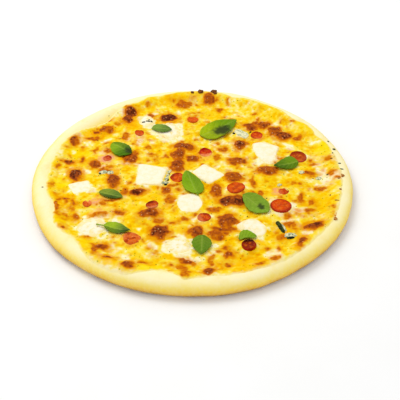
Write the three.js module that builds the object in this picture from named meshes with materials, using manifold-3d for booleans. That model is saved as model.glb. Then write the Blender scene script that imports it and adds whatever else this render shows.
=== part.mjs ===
// A round thin pizza, baked whole: a crust with a risen rim, one sheet of melted cheese with browned
// blisters, cherry tomato slices, lumps of soft white cheese and basil leaves.
// Millimetres, +Z up. The origin is the middle of the flat base, and -Y is the front.
import * as THREE from "three";
import Module from "manifold-3d";

const wasm = await Module();
wasm.setup();

// Driving dimensions
const pizzaRadius = 150; // a twelve inch pizza
const rimHeight = 14.6; // base to the crest of the rim
const crestRadius = 140;
const bellyHeight = 6.4; // where the rim is widest
const footRadius = 143.5; // edge of the flat underside
const baseThickness = 5.5; // dough under the cheese
const slopeRadius = 116; // where the dough starts to rise to the rim
const cheeseLevel = 10; // general height of the cheese above the base's underside
const cheeseOnRim = 1.4; // cheese over the dough near its edge
const cheeseReach = 140.6; // general radius of the cheese's edge
const clearance = 0.3; // gap kept between pieces that touch
const leafThickness = 0.8;

// How finely each piece is faceted
const crustSectors = 84;
const cheeseRings = 23;
const sliceSides = 12;
const lumpSides = 14;
const leafStations = 8;
const leafStrips = 4;

const degrees = Math.PI / 180;

// Where the rim bulges out and up, or draws in
const rimBulges = [
  { at: 74, out: 1.5, up: 1.2, spread: 12 },
  { at: 38, out: -1.2, up: 0, spread: 14 },
  { at: 141, out: -1.2, up: 0, spread: 12 },
];

// Where the cheese's edge runs out past its general radius, or falls short of it
const edgeTongues = [
  { at: 85, by: 2.6, spread: 9 },
  { at: 105, by: -2.6, spread: 3 },
  { at: 116, by: -4, spread: 4 },
  { at: 137, by: -13.5, spread: 13 },
  { at: 178, by: -4.5, spread: 22 },
  { at: 201, by: -7, spread: 6 },
  { at: 223, by: -4.2, spread: 5.5 },
  { at: 240, by: 5.4, spread: 9 },
  { at: 248, by: 3, spread: 3.5 },
  { at: 260, by: -9.5, spread: 5 },
  { at: 268.2, by: 2.4, spread: 1.8 },
  { at: 276, by: -2.2, spread: 8 },
  { at: 305, by: 1.6, spread: 10 },
  { at: 332, by: 1.8, spread: 5 },
  { at: 25, by: -2.8, spread: 3 },
  { at: 40, by: -3, spread: 6 },
  { at: 71, by: -2.8, spread: 3 },
];

// Browned blisters of the cheese: centre x and y, half length, half width, turn in degrees
const blisters = [
  [-66, 109, 8, 7, 0], [-69, 94, 6, 7, 0], [-26, 98, 10, 7, 0], [-118, 52, 4, 7, 0],
  [-110, 0, 6, 9, 20], [47, 48, 6, 8, 0], [59, 80, 8, 7, 0], [73, 83, 7, 7, 0],
  [83, 72, 7, 7, 0], [92, 64, 9, 8, 0], [106, -74, 9, 5, 0], [-28, -81, 9, 10, 0],
  [-51, -124, 6, 5, 0], [-76, -100, 6, 5, 0], [14, -129, 5, 7, -40], [-10, 121, 9, 8, 0],
  [17, 129, 7, 9, 0], [-89, 74, 7, 7, 0], [-94, 16, 6, 6, 0], [-61, 25, 7, 10, 0],
  [-8, 44, 11, 7, 0], [-14, 31, 7, 9, 0], [-14, 14, 7, 11, 0], [0, 25, 7, 6, 0],
  [43, 21, 9, 7, 0], [72, 6, 11, 7, 0], [39, -4, 9, 9, 0], [22, -24, 5, 10, 0],
  [37, -39, 13, 8, 0], [32, -66, 9, 9, 0], [21, -84, 8, 6, 0], [4, -81, 8, 7, 0],
  [-74, -10, 6, 11, 15], [-50, -26, 9, 4, 0], [-38, -57, 10, 7, 0], [-82, -58, 8, 5, 0],
];
const blisterRise = 1.9;

// Cherry tomato slices, cut side up: the rise is how far the rim of one stands above the cheese
const tomatoSlices = [
  { x: 80, y: -47.5, radius: 9.5, rise: 2.4 },
  { x: 40.5, y: -21.5, radius: 8.5, rise: 1.8 },
  { x: 65, y: 63.5, radius: 6.2, rise: 1.6 },
  { x: 103, y: 26.5, radius: 9, rise: 2 },
  { x: 13, y: 33.5, radius: 6.9, rise: 1.6 },
  { x: 0, y: 92.5, radius: 6.3, rise: 1.3 },
  { x: -54.3, y: 68, radius: 5.2, rise: 1.6 },
  { x: -82.8, y: 24.8, radius: 4.4, rise: 1.3 },
  { x: -14, y: -6.8, radius: 7, rise: 1.8 },
  { x: -35.5, y: -46, radius: 5.4, rise: 1.6 },
  { x: -94.2, y: -43.6, radius: 4.3, rise: 1.2 },
  { x: -51, y: -89.8, radius: 7.5, rise: 1.8 },
  { x: 11, y: -62.8, radius: 6, rise: 1.8 },
  { x: 84.2, y: -26.4, radius: 4.6, rise: 1.3 },
  { x: 48.5, y: -98.5, radius: 6.6, rise: 3 },
];

// Lumps of soft white cheese: the corners of the piece that was cut, and how sharp they still are
// after melting, from 3 for a round pool to 16 for a crisp edge
const whiteLumps = [
  { corners: [[-52, 16], [-24, 9.5], [-28.5, -17.5], [-53, -16]], sharp: 14, rise: 1.4 },
  { corners: [[-2, 2.4], [11.2, 15.6], [31.5, -2], [15.8, -17]], sharp: 14, rise: 1.4 },
  { corners: [[59, 48.5], [68, 53], [87, 44], [78, 17.5], [69, 17.5], [60, 34]], sharp: 14, rise: 1.4 },
  { corners: [[-116.5, -15.5], [-96.5, -9], [-91.5, -23.5], [-108.5, -32]], sharp: 12, rise: 1.2 },
  { corners: [[-43, 80], [-26, 87], [-14, 83], [-11, 68], [-19, 56], [-33, 59]], sharp: 4, rise: 1.1 },
  {
    corners: [[-12.5, -32.5], [-3.6, -29], [7, -31], [11, -43.4], [4.5, -55.5], [-9.5, -55], [-14, -46]],
    sharp: 12, rise: 1.4,
  },
  { corners: [[-102, -79], [-94, -65], [-78, -64], [-72, -80], [-84, -89]], sharp: 4, rise: 1.2 },
  { corners: [[37, -74], [44, -65], [57, -63], [66, -73], [65, -84], [57.5, -90]], sharp: 6, rise: 1.5 },
  { corners: [[-25, -95], [-10, -87], [3, -94], [0, -106], [-14, -109]], sharp: 4, rise: 1 },
  { corners: [[-57, 100], [-45, 102], [-39, 89], [-44, 81], [-57, 83]], sharp: 4, rise: 1 },
  { corners: [[41, 71], [47, 75], [56, 69], [57.5, 62], [54, 58], [45, 62]], sharp: 5, rise: 1.6 },
];

// Basil leaves: stalk end, tip, greatest half width on the left and on the right of the midrib with
// the share of the way to the tip where it lies, how blunt the outline is from 0.5 to 0.9, how far
// the two halves fold up (downwards if negative), how far the tip curls up, length of bare stalk
const basilLeaves = [
  {
    base: [-60, 29], tip: [-80.5, 49], left: [10, 0.45], right: [9, 0.55],
    blunt: 0.6, fold: -2.6, curl: 0.8, stalk: 0,
  },
  {
    base: [-42.5, 75.3], tip: [-21.4, 71.6], left: [7.8, 0.33], right: [6, 0.55],
    blunt: 0.7, fold: -0.5, curl: 0.2, stalk: 0,
  },
  {
    base: [8, 62], tip: [45.3, 91], left: [11, 0.42], right: [15.5, 0.32],
    blunt: 0.75, fold: 1.6, curl: 1.2, stalk: 0,
  },
  {
    base: [102, 17], tip: [78, 9.3], left: [7, 0.42], right: [10, 0.27],
    blunt: 0.7, fold: -1, curl: 0.6, stalk: 0,
  },
  {
    base: [5.5, -33], tip: [-5.5, 3.5], left: [9.4, 0.42], right: [8.8, 0.3],
    blunt: 0.8, fold: 1, curl: 0.6, stalk: 2,
  },
  {
    base: [-85.3, -27.5], tip: [-63, -35], left: [7.5, 0.4], right: [4.5, 0.5],
    blunt: 0.7, fold: -0.6, curl: 0.3, stalk: 0,
  },
  {
    base: [-82.4, -74], tip: [-52, -81.5], left: [8.5, 0.3], right: [5.5, 0.45],
    blunt: 0.8, fold: -0.8, curl: 0.5, stalk: 7,
  },
  {
    base: [9.1, -87], tip: [8.6, -108.5], left: [8.4, 0.43], right: [8.4, 0.43],
    blunt: 0.75, fold: 0.8, curl: 0.6, stalk: 0,
  },
  {
    base: [46.5, -33], tip: [68, -56], left: [11, 0.38], right: [11, 0.58],
    blunt: 0.6, fold: 1.2, curl: 0.8, stalk: 0,
  },
  {
    base: [40.5, -90.5], tip: [55.5, -88], left: [8.5, 0.38], right: [3, 0.5],
    blunt: 0.7, fold: 0.8, curl: 0.4, stalk: 0,
  },
];

// Crumbs of blue cheese and wilted herb, thicker than a flake: x, y, length, width, turn
const crumbs = [
  [-21.8, 4.5, 5, 3, 60], [-23.4, -2, 6, 3.2, 80], [-25, -13, 5.5, 4, 20], [-84.5, 3.2, 8, 5.5, 15],
  [-78, 2.2, 7, 4.5, 0], [119, -6, 5, 4, 0], [81, -16, 4, 3, 30], [104, 3, 6, 4, 20],
  [84.7, -85.5, 10, 6, 0], [77.4, -75.4, 15, 4, -71],
];
const crumbRise = 1.6;

// Smooth step from 0 to 1
function ease(t) {
  const s = Math.min(1, Math.max(0, t));
  return s * s * (3 - 2 * s);
}

// Repeatable random numbers from 0 to 1
function randomFrom(seed) {
  let state = seed;
  return () => {
    state = (state * 1664525 + 1013904223) % 4294967296;
    return state / 4294967296;
  };
}

// The larger of two heights, with the corner between them rounded over a width
function smoothMax(a, b, width) {
  const overlap = Math.max(0, width - Math.abs(a - b)) / width;
  return Math.max(a, b) + overlap * overlap * width * 0.25;
}

// 1 at the middle of an ellipse and 0 on its edge and beyond
function dome(x, y, [centreX, centreY, length, width, turn]) {
  const c = Math.cos(turn * degrees);
  const s = Math.sin(turn * degrees);
  const along = ((x - centreX) * c + (y - centreY) * s) / length;
  const across = ((y - centreY) * c - (x - centreX) * s) / width;
  const inside = Math.max(0, 1 - along * along - across * across);
  return inside * inside * (3 - 2 * inside);
}

// A closed skin over rings of points that run counter-clockwise, from the lowest ring to the highest
function ringSkin(rings, bottom, top) {
  const count = rings[0].length;
  const points = [bottom, ...rings.flat(), top];
  const topIndex = points.length - 1;
  const faces = [];
  for (let k = 0; k < count; k++) {
    const next = (k + 1) % count;
    faces.push(0, 1 + next, 1 + k);
    for (let ring = 0; ring < rings.length - 1; ring++) {
      const low = 1 + ring * count;
      const high = low + count;
      faces.push(low + k, low + next, high + next, low + k, high + next, high + k);
    }
    faces.push(topIndex, topIndex - count + k, topIndex - count + next);
  }
  return geometryOf(points.flatMap((p) => [p.x, p.y, p.z]), faces);
}

function geometryOf(positions, faces) {
  const geometry = new THREE.BufferGeometry();
  geometry.setAttribute("position", new THREE.Float32BufferAttribute(positions, 3));
  geometry.setIndex(faces);
  geometry.computeVertexNormals();
  return geometry;
}

function solidOf(geometry) {
  return new wasm.Manifold(
    new wasm.Mesh({
      numProp: 3,
      vertProperties: new Float32Array(geometry.attributes.position.array),
      triVerts: new Uint32Array(geometry.index.array),
    }),
  );
}

// Drops the scraps that a cut leaves, and keeps the largest body
function largestBody(solid) {
  const bodies = solid.decompose().sort((a, b) => b.volume() - a.volume());
  const mesh = bodies[0].getMesh();
  return geometryOf(Array.from(mesh.vertProperties), Array.from(mesh.triVerts));
}

// Crust

// How much of a tongue or a bulge is left at an angle: 1 at its middle, falling off over its spread
function nearness(angle, { at, spread }) {
  const turn = ((angle / degrees) % 360 + 360) % 360;
  const away = Math.min(Math.abs(turn - at), 360 - Math.abs(turn - at));
  return Math.exp(-((away / spread) ** 2));
}

// The rim's unevenness: waves all round, and bulges
function rimSwell(angle) {
  let swell = 0.6 * Math.cos(2 * angle + 0.5) + 0.35 * Math.cos(6 * angle + 2) + 0.3 * Math.cos(10 * angle);
  for (const bulge of rimBulges) {
    swell += bulge.out * nearness(angle, bulge);
  }
  return swell;
}

function rimLift(angle) {
  let lift = 0.45 * Math.sin(3 * angle + 1) + 0.35 * Math.sin(7 * angle + 2.4) + 0.2 * Math.sin(13 * angle);
  for (const bulge of rimBulges) {
    lift += bulge.up * nearness(angle, bulge);
  }
  return lift;
}

// Height of an even crust's upper side at a radius
function evenCrustTop(radius) {
  if (radius < crestRadius) {
    const climb = (radius - slopeRadius) / (crestRadius - slopeRadius);
    return baseThickness + (rimHeight - baseThickness) * ease(climb);
  }
  const out = Math.min(1, (radius - crestRadius) / (pizzaRadius - crestRadius));
  return bellyHeight + (rimHeight - bellyHeight) * Math.sqrt(1 - out * out);
}

function unevenPoint(radius, height, angle) {
  const share = (radius / pizzaRadius) ** 4;
  const reach = radius + rimSwell(angle) * share;
  const z = height + rimLift(angle) * ease((height - baseThickness) / (rimHeight - baseThickness));
  return new THREE.Vector3(reach * Math.cos(angle), reach * Math.sin(angle), z);
}

function crustTop(x, y) {
  const radius = Math.hypot(x, y);
  const angle = Math.atan2(y, x);
  const even = radius - rimSwell(angle) * (radius / pizzaRadius) ** 4;
  return unevenPoint(even, evenCrustTop(even), angle).z;
}

// The crust's section from the edge of its foot, round the rim and down to the flat of the base
function crustSection() {
  const undersideSteps = 3;
  const outsideSteps = 4;
  const insideSteps = 5;
  const section = [];
  for (let i = 0; i <= undersideSteps; i++) {
    const turn = (i / undersideSteps) * 90 * degrees;
    const radius = footRadius + (pizzaRadius - footRadius) * Math.sin(turn);
    section.push([radius, bellyHeight * (1 - Math.cos(turn))]);
  }
  for (let i = 1; i <= outsideSteps; i++) {
    const turn = (i / outsideSteps) * 90 * degrees;
    const radius = crestRadius + (pizzaRadius - crestRadius) * Math.cos(turn);
    section.push([radius, bellyHeight + (rimHeight - bellyHeight) * Math.sin(turn)]);
  }
  for (let i = 1; i <= insideSteps; i++) {
    const radius = crestRadius - (crestRadius - slopeRadius) * (i / insideSteps);
    section.push([radius, evenCrustTop(radius)]);
  }
  return section;
}

function makeCrust() {
  const rings = crustSection().map(([radius, height]) =>
    Array.from({ length: crustSectors }, (_, k) =>
      unevenPoint(radius, height, (k / crustSectors) * 2 * Math.PI),
    ),
  );
  return ringSkin(rings, new THREE.Vector3(0, 0, 0), new THREE.Vector3(0, 0, baseThickness));
}

// Melted cheese

function edgeRadius(angle) {
  let radius = cheeseReach;
  for (const tongue of edgeTongues) {
    radius += tongue.by * nearness(angle, tongue);
  }
  return radius;
}

// Low swells all over the cheese
function swells(x, y) {
  return (
    0.4 * Math.sin(0.083 * x + 1.3) * Math.cos(0.071 * y - 0.6) +
    0.28 * Math.sin(0.17 * x - 0.12 * y + 2.1) +
    0.22 * Math.sin(0.11 * x + 0.19 * y + 0.4)
  );
}

function cheeseTop(x, y) {
  const near = Math.hypot(x, y) / edgeRadius(Math.atan2(y, x));
  const onRim = crustTop(x, y) + cheeseOnRim - 0.5 * ease((near - 0.95) / 0.05);
  let height = smoothMax(cheeseLevel + swells(x, y), onRim, 2);
  for (const blister of blisters) {
    height += blisterRise * dome(x, y, blister);
  }
  return height;
}

// A disc of triangles: ring n has 6 n points, and the last ring is also the top of the wall
function cheeseDisc() {
  const points = [new THREE.Vector3(0, 0, cheeseTop(0, 0))];
  const ringStart = [0];
  for (let ring = 1; ring <= cheeseRings; ring++) {
    ringStart.push(points.length);
    for (let k = 0; k < 6 * ring; k++) {
      const angle = (k / (6 * ring)) * 2 * Math.PI;
      const radius = edgeRadius(angle) * (ring / cheeseRings);
      const x = radius * Math.cos(angle);
      const y = radius * Math.sin(angle);
      points.push(new THREE.Vector3(x, y, cheeseTop(x, y)));
    }
  }
  const faces = [];
  for (let ring = 1; ring <= cheeseRings; ring++) {
    for (let side = 0; side < 6; side++) {
      for (let j = 0; j < ring; j++) {
        const inner = (i) => (ring === 1 ? 0 : ringStart[ring - 1] + (i % (6 * (ring - 1))));
        const outer = (i) => ringStart[ring] + (i % (6 * ring));
        const from = inner(side * (ring - 1) + j);
        faces.push(from, outer(side * ring + j), outer(side * ring + j + 1));
        if (j < ring - 1) {
          faces.push(from, outer(side * ring + j + 1), inner(side * (ring - 1) + j + 1));
        }
      }
    }
  }
  return { points, faces, edgeStart: ringStart[cheeseRings] };
}

// The cheese is cut from below by the crust that it lies on
function makeCheese(crust) {
  const wallFoot = 2;
  const { points, faces, edgeStart } = cheeseDisc();
  const edgeCount = 6 * cheeseRings;
  const footStart = points.length;
  for (let k = 0; k < edgeCount; k++) {
    const { x, y } = points[edgeStart + k];
    points.push(new THREE.Vector3(x, y, wallFoot));
  }
  const middle = points.length;
  points.push(new THREE.Vector3(0, 0, wallFoot));
  for (let k = 0; k < edgeCount; k++) {
    const next = (k + 1) % edgeCount;
    faces.push(edgeStart + k, footStart + k, footStart + next);
    faces.push(edgeStart + k, footStart + next, edgeStart + next);
    faces.push(middle, footStart + next, footStart + k);
  }
  let cheese = solidOf(geometryOf(points.flatMap((p) => [p.x, p.y, p.z]), faces));
  for (const crumb of crumbs) {
    cheese = cheese.add(solidOf(makeCrumb(crumb)));
  }
  return largestBody(cheese.subtract(solidOf(crust.clone().translate(0, 0, clearance))));
}

function makeCrumb([x, y, length, width, turn]) {
  const sides = 6;
  const sunk = 0.8;
  const levels = [
    { share: 0.85, z: -sunk },
    { share: 1, z: 0.35 * crumbRise },
    { share: 0.6, z: 0.9 * crumbRise },
  ];
  const rings = levels.map(({ share, z }) =>
    Array.from({ length: sides }, (_, k) => {
      const angle = (k / sides) * 2 * Math.PI;
      const px = (length / 2) * share * Math.cos(angle);
      const py = (width / 2) * share * Math.sin(angle);
      return new THREE.Vector3(px, py, z);
    }),
  );
  const crumb = ringSkin(rings, new THREE.Vector3(0, 0, -sunk), new THREE.Vector3(0, 0, crumbRise));
  return crumb.rotateZ(turn * degrees).translate(x, y, cheeseTop(x, y));
}

// Toppings sunk a little into the cheese

// Cuts a topping's underside to the cheese, and gives it with its origin at its own middle
function settle(topping, cheese, x, y) {
  const bed = cheese.clone().translate(-x, -y, clearance - cheeseTop(x, y));
  const mesh = new THREE.Mesh(largestBody(solidOf(topping).subtract(solidOf(bed))));
  mesh.position.set(x, y, cheeseTop(x, y));
  return mesh;
}

function makeTomatoSlice({ radius, rise }, random) {
  const sunk = 1.6;
  const levels = [
    { share: 0.92, z: -sunk },
    { share: 1, z: rise * 0.5 },
    { share: 0.88, z: rise },
    { share: 0.5, z: rise - 0.5 },
  ];
  const lopsided = 0.04 + 0.04 * random();
  const phase = random() * 2 * Math.PI;
  const rings = levels.map(({ share, z }) =>
    Array.from({ length: sliceSides }, (_, k) => {
      const angle = (k / sliceSides) * 2 * Math.PI;
      const reach = radius * share * (1 + lopsided * Math.cos(2 * angle + phase));
      return new THREE.Vector3(reach * Math.cos(angle), reach * Math.sin(angle), z);
    }),
  );
  const middle = new THREE.Vector3(0, 0, rise - 0.4);
  const slice = ringSkin(rings, new THREE.Vector3(0, 0, -sunk), middle);
  const tilt = 5 * degrees;
  return slice.rotateX((random() - 0.5) * 2 * tilt).rotateY((random() - 0.5) * 2 * tilt);
}

function middleOf(corners) {
  const sum = corners.reduce(([x, y], corner) => [x + corner[0], y + corner[1]], [0, 0]);
  return sum.map((value) => value / corners.length);
}

// Reach from the middle at an angle, for an outline whose corners are rounded over
function softReach(corners, middle, sharp, angle) {
  let sum = 0;
  corners.forEach(([x, y], k) => {
    const [nextX, nextY] = corners[(k + 1) % corners.length];
    const side = Math.hypot(nextX - x, nextY - y);
    const normalX = (nextY - y) / side;
    const normalY = (x - nextX) / side;
    const away = (x - middle[0]) * normalX + (y - middle[1]) * normalY;
    const facing = (Math.cos(angle) * normalX + Math.sin(angle) * normalY) / away;
    sum += Math.max(0, facing) ** sharp;
  });
  return sum ** (-1 / sharp);
}

// A soft lump with rounded shoulders, seen from its middle
function makeWhiteLump({ corners, sharp, rise }, random) {
  const sunk = 1.4;
  const levels = [
    { share: 0.97, z: -sunk },
    { share: 1, z: rise * 0.4 },
    { share: 0.85, z: rise * 0.95 },
    { share: 0.5, z: rise * 1.05 },
  ];
  const phase = random() * 2 * Math.PI;
  const middle = middleOf(corners);
  const rings = levels.map(({ share, z }) =>
    Array.from({ length: lumpSides }, (_, k) => {
      const angle = (k / lumpSides) * 2 * Math.PI;
      const reach = share * softReach(corners, middle, sharp, angle);
      const wave = z > 0 ? 0.25 * Math.sin(2 * angle + phase) : 0;
      return new THREE.Vector3(reach * Math.cos(angle), reach * Math.sin(angle), z + wave);
    }),
  );
  return ringSkin(rings, new THREE.Vector3(0, 0, -sunk), new THREE.Vector3(0, 0, rise));
}

// Basil leaves draped over what lies below them

// Highest point of the pieces below within a small circle
function supportUnder(raycaster, pieces, x, y, around) {
  const down = new THREE.Vector3(0, 0, -1);
  const above = 60;
  let highest = 0;
  for (let ring = 0; ring <= 2; ring++) {
    const count = ring === 0 ? 1 : 8;
    for (let k = 0; k < count; k++) {
      const angle = ((k + ring / 2) / count) * 2 * Math.PI;
      const reach = (around * ring) / 2;
      const from = new THREE.Vector3(x + reach * Math.cos(angle), y + reach * Math.sin(angle), above);
      raycaster.set(from, down);
      const [hit] = raycaster.intersectObjects(pieces, false);
      highest = Math.max(highest, hit ? hit.point.z : 0);
    }
  }
  return highest;
}

// Half the blade's width at a share of the length, on the side whose widest place is given
function leafHalfWidth(u, [width, peak], { blunt, stalk }, length) {
  const bladeStart = stalk / length;
  const blade = (u - bladeStart) / (1 - bladeStart);
  const thinnest = 0.6;
  if (blade <= 0) {
    return thinnest;
  }
  const lean = Math.log(0.5) / Math.log(peak);
  return Math.max(thinnest, width * Math.sin(Math.PI * blade ** lean) ** blunt);
}

// The leaf's own form above the surface it lies on: a fold along the midrib, a curled tip, wavy edges
function leafForm(u, v, { fold, curl }) {
  const halves = fold > 0 ? fold * v * v : -fold * (1 - v * v);
  const wave = 0.35 * Math.abs(v) * (1 + Math.sin(9 * u + 2 * v));
  return halves * Math.sin(Math.PI * Math.min(1, u + 0.1)) + curl * u ** 3 + wave;
}

function makeLeaf(leaf, raycaster, pieces) {
  const [baseX, baseY] = leaf.base;
  const [tipX, tipY] = leaf.tip;
  const length = Math.hypot(tipX - baseX, tipY - baseY);
  const along = [(tipX - baseX) / length, (tipY - baseY) / length];
  const across = [-along[1], along[0]];
  const rowSize = leafStrips + 1;
  const lower = [];
  for (let i = 0; i <= leafStations; i++) {
    const u = i / leafStations;
    for (let j = 0; j <= leafStrips; j++) {
      const v = (2 * j) / leafStrips - 1;
      const half = leafHalfWidth(u, v > 0 ? leaf.left : leaf.right, leaf, length);
      const x = baseX + along[0] * u * length + across[0] * v * half;
      const y = baseY + along[1] * u * length + across[1] * v * half;
      const reach = Math.hypot(length / leafStations, (2 * half) / leafStrips);
      const rest = supportUnder(raycaster, pieces, x, y, Math.min(4, reach));
      lower.push(new THREE.Vector3(x, y, rest + clearance + 0.15 + leafForm(u, v, leaf)));
    }
  }
  const upper = lower.map((p) => new THREE.Vector3(p.x, p.y, p.z + leafThickness));
  const points = [...lower, ...upper];
  const topStart = lower.length;
  const faces = [];
  for (let i = 0; i < leafStations; i++) {
    for (let j = 0; j < leafStrips; j++) {
      const a = i * rowSize + j;
      const b = a + rowSize;
      faces.push(a, a + 1, b + 1, a, b + 1, b);
      faces.push(topStart + a, topStart + b + 1, topStart + a + 1);
      faces.push(topStart + a, topStart + b, topStart + b + 1);
    }
  }
  // The rim of the blade, point by point round the grid
  const rim = [];
  for (let i = 0; i < leafStations; i++) rim.push(i * rowSize);
  for (let j = 0; j < leafStrips; j++) rim.push(leafStations * rowSize + j);
  for (let i = leafStations; i > 0; i--) rim.push(i * rowSize + leafStrips);
  for (let j = leafStrips; j > 0; j--) rim.push(j);
  rim.forEach((from, k) => {
    const to = rim[(k + 1) % rim.length];
    faces.push(from, to, topStart + to, from, topStart + to, topStart + from);
  });
  return geometryOf(points.flatMap((p) => [p.x, p.y, p.z]), faces);
}

// Materials

const crustMaterial = new THREE.MeshStandardMaterial({ color: "#f6e3a4", roughness: 0.75, metalness: 0 });
const cheeseMaterial = new THREE.MeshStandardMaterial({ color: "#ffd24a", roughness: 0.4, metalness: 0 });
const tomatoMaterial = new THREE.MeshStandardMaterial({ color: "#d8400f", roughness: 0.3, metalness: 0 });
const whiteMaterial = new THREE.MeshStandardMaterial({ color: "#fffbe8", roughness: 0.5, metalness: 0 });
const basilMaterial = new THREE.MeshStandardMaterial({ color: "#5a8f1e", roughness: 0.5, metalness: 0 });

// Assembly

const pizza = new THREE.Group();

function addPiece(mesh, name, material) {
  mesh.name = name;
  mesh.material = material.clone();
  pizza.add(mesh);
  return mesh;
}

function numbered(name, index) {
  return `${name}_${String(index + 1).padStart(2, "0")}`;
}

const crust = makeCrust();
const cheese = makeCheese(crust);
addPiece(new THREE.Mesh(crust), "crust", crustMaterial);
const bed = [addPiece(new THREE.Mesh(cheese), "melted_cheese", cheeseMaterial)];

const random = randomFrom(7);
tomatoSlices.forEach((slice, i) => {
  const mesh = settle(makeTomatoSlice(slice, random), cheese, slice.x, slice.y);
  bed.push(addPiece(mesh, numbered("tomato_slice", i), tomatoMaterial));
});
whiteLumps.forEach((lump, i) => {
  const mesh = settle(makeWhiteLump(lump, random), cheese, ...middleOf(lump.corners));
  bed.push(addPiece(mesh, numbered("white_cheese", i), whiteMaterial));
});

pizza.updateMatrixWorld(true);
const raycaster = new THREE.Raycaster();
basilLeaves.forEach((leaf, i) => {
  const mesh = new THREE.Mesh(makeLeaf(leaf, raycaster, bed));
  addPiece(mesh, numbered("basil_leaf", i), basilMaterial);
});

export default pizza;
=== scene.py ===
import math

import bmesh
import bpy
import numpy as np
from mathutils import Matrix, Vector, noise
from mathutils.bvhtree import BVHTree


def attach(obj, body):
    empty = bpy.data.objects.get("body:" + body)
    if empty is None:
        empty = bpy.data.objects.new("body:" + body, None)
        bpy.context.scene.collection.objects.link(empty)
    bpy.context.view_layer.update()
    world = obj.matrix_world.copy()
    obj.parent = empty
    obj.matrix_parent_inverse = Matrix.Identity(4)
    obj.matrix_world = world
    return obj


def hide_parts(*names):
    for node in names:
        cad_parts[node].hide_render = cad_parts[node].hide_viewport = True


# A round pizza with melted cheese, cherry tomatoes, white cheese and basil.
# Sizes in the dictionaries are millimetres and turns are degrees, in the same places as the CAD part.

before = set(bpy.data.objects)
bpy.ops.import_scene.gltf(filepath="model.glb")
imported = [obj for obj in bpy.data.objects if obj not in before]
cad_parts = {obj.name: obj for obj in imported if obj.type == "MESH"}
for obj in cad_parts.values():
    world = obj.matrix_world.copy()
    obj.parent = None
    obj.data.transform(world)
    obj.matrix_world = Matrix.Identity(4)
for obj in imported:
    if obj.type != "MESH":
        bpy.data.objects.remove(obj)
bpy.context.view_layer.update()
mm = 0.001
fullTurn = 2 * math.pi

pizza = {
    "radius": 150,
    "rimHeight": 14.6,
    "crestRadius": 140,
    "bellyHeight": 6.4,
    "footRadius": 143.5,
    "baseThickness": 5.5,
    "slopeRadius": 116,
    "cheeseLevel": 10,
    "cheeseOnRim": 1.4,
    "cheeseReach": 140.6,
}

# where the rim bulges: angle in degrees, how far out, how far up, spread
rimBulges = [(74, 1.5, 1.2, 12), (38, -1.2, 0, 14), (141, -1.2, 0, 12)]

# the rim's unevenness outwards and upwards: size in mm, waves round the rim, start in radians
swellWaves = [(0.6, 2, 0.5), (0.35, 6, 2), (0.3, 10, 0)]
liftWaves = [(0.45, 3, 1), (0.35, 7, 2.4), (0.2, 13, 0)]

# where the cheese runs further out, or less far: angle, distance and how wide the tongue is
edgeTongues = [
    (85, 2.6, 9), (105, -2.6, 3), (116, -4, 4), (137, -13.5, 13), (178, -4.5, 22), (201, -7, 6),
    (223, -4.2, 5.5), (240, 5.4, 9), (248, 3, 3.5), (260, -9.5, 5), (268.2, 2.4, 1.8), (276, -2.2, 8),
    (305, 1.6, 10), (332, 1.8, 5), (25, -2.8, 3), (40, -3, 6), (71, -2.8, 3),
]

# browned blisters: x, y, half length, half width, turn, how dark
blisters = [
    (-66, 109, 8, 7, 0, 0.3), (-69, 94, 6, 7, 0, 0.85), (-26, 98, 10, 7, 0, 0.98),
    (-118, 52, 4, 7, 0, 0.68), (-110, 0, 6, 9, 20, 1), (47, 48, 6, 8, 0, 0.85), (59, 80, 8, 7, 0, 0.75),
    (73, 83, 7, 7, 0, 0.7), (83, 72, 7, 7, 0, 0.76), (92, 64, 9, 8, 0, 0.82), (106, -74, 9, 5, 0, 0.92),
    (-28, -81, 9, 10, 0, 0.85), (-51, -124, 6, 5, 0, 0.75), (-76, -100, 6, 5, 0, 0.8),
    (14, -129, 5, 7, -40, 0.8), (-10, 121, 9, 8, 0, 0.5), (17, 129, 7, 9, 0, 0.62),
    (-89, 74, 7, 7, 0, 0.66), (-94, 16, 6, 6, 0, 0.7), (-61, 25, 7, 10, 0, 0.66), (-8, 44, 11, 7, 0, 0.8),
    (-14, 31, 7, 9, 0, 0.74), (-14, 14, 7, 11, 0, 0.72), (0, 25, 7, 6, 0, 0.74), (43, 21, 9, 7, 0, 0.74),
    (72, 6, 11, 7, 0, 0.68), (39, -4, 9, 9, 0, 0.68), (22, -24, 5, 10, 0, 0.7), (37, -39, 13, 8, 0, 0.86),
    (32, -66, 9, 9, 0, 0.68), (21, -84, 8, 6, 0, 0.58), (4, -81, 8, 7, 0, 0.64),
    (-74, -10, 6, 11, 15, 0.74), (-50, -26, 9, 4, 0, 0.86), (-38, -57, 10, 7, 0, 0.78),
    (-82, -58, 8, 5, 0, 0.32),
]
blisterRise = 1.9

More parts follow.
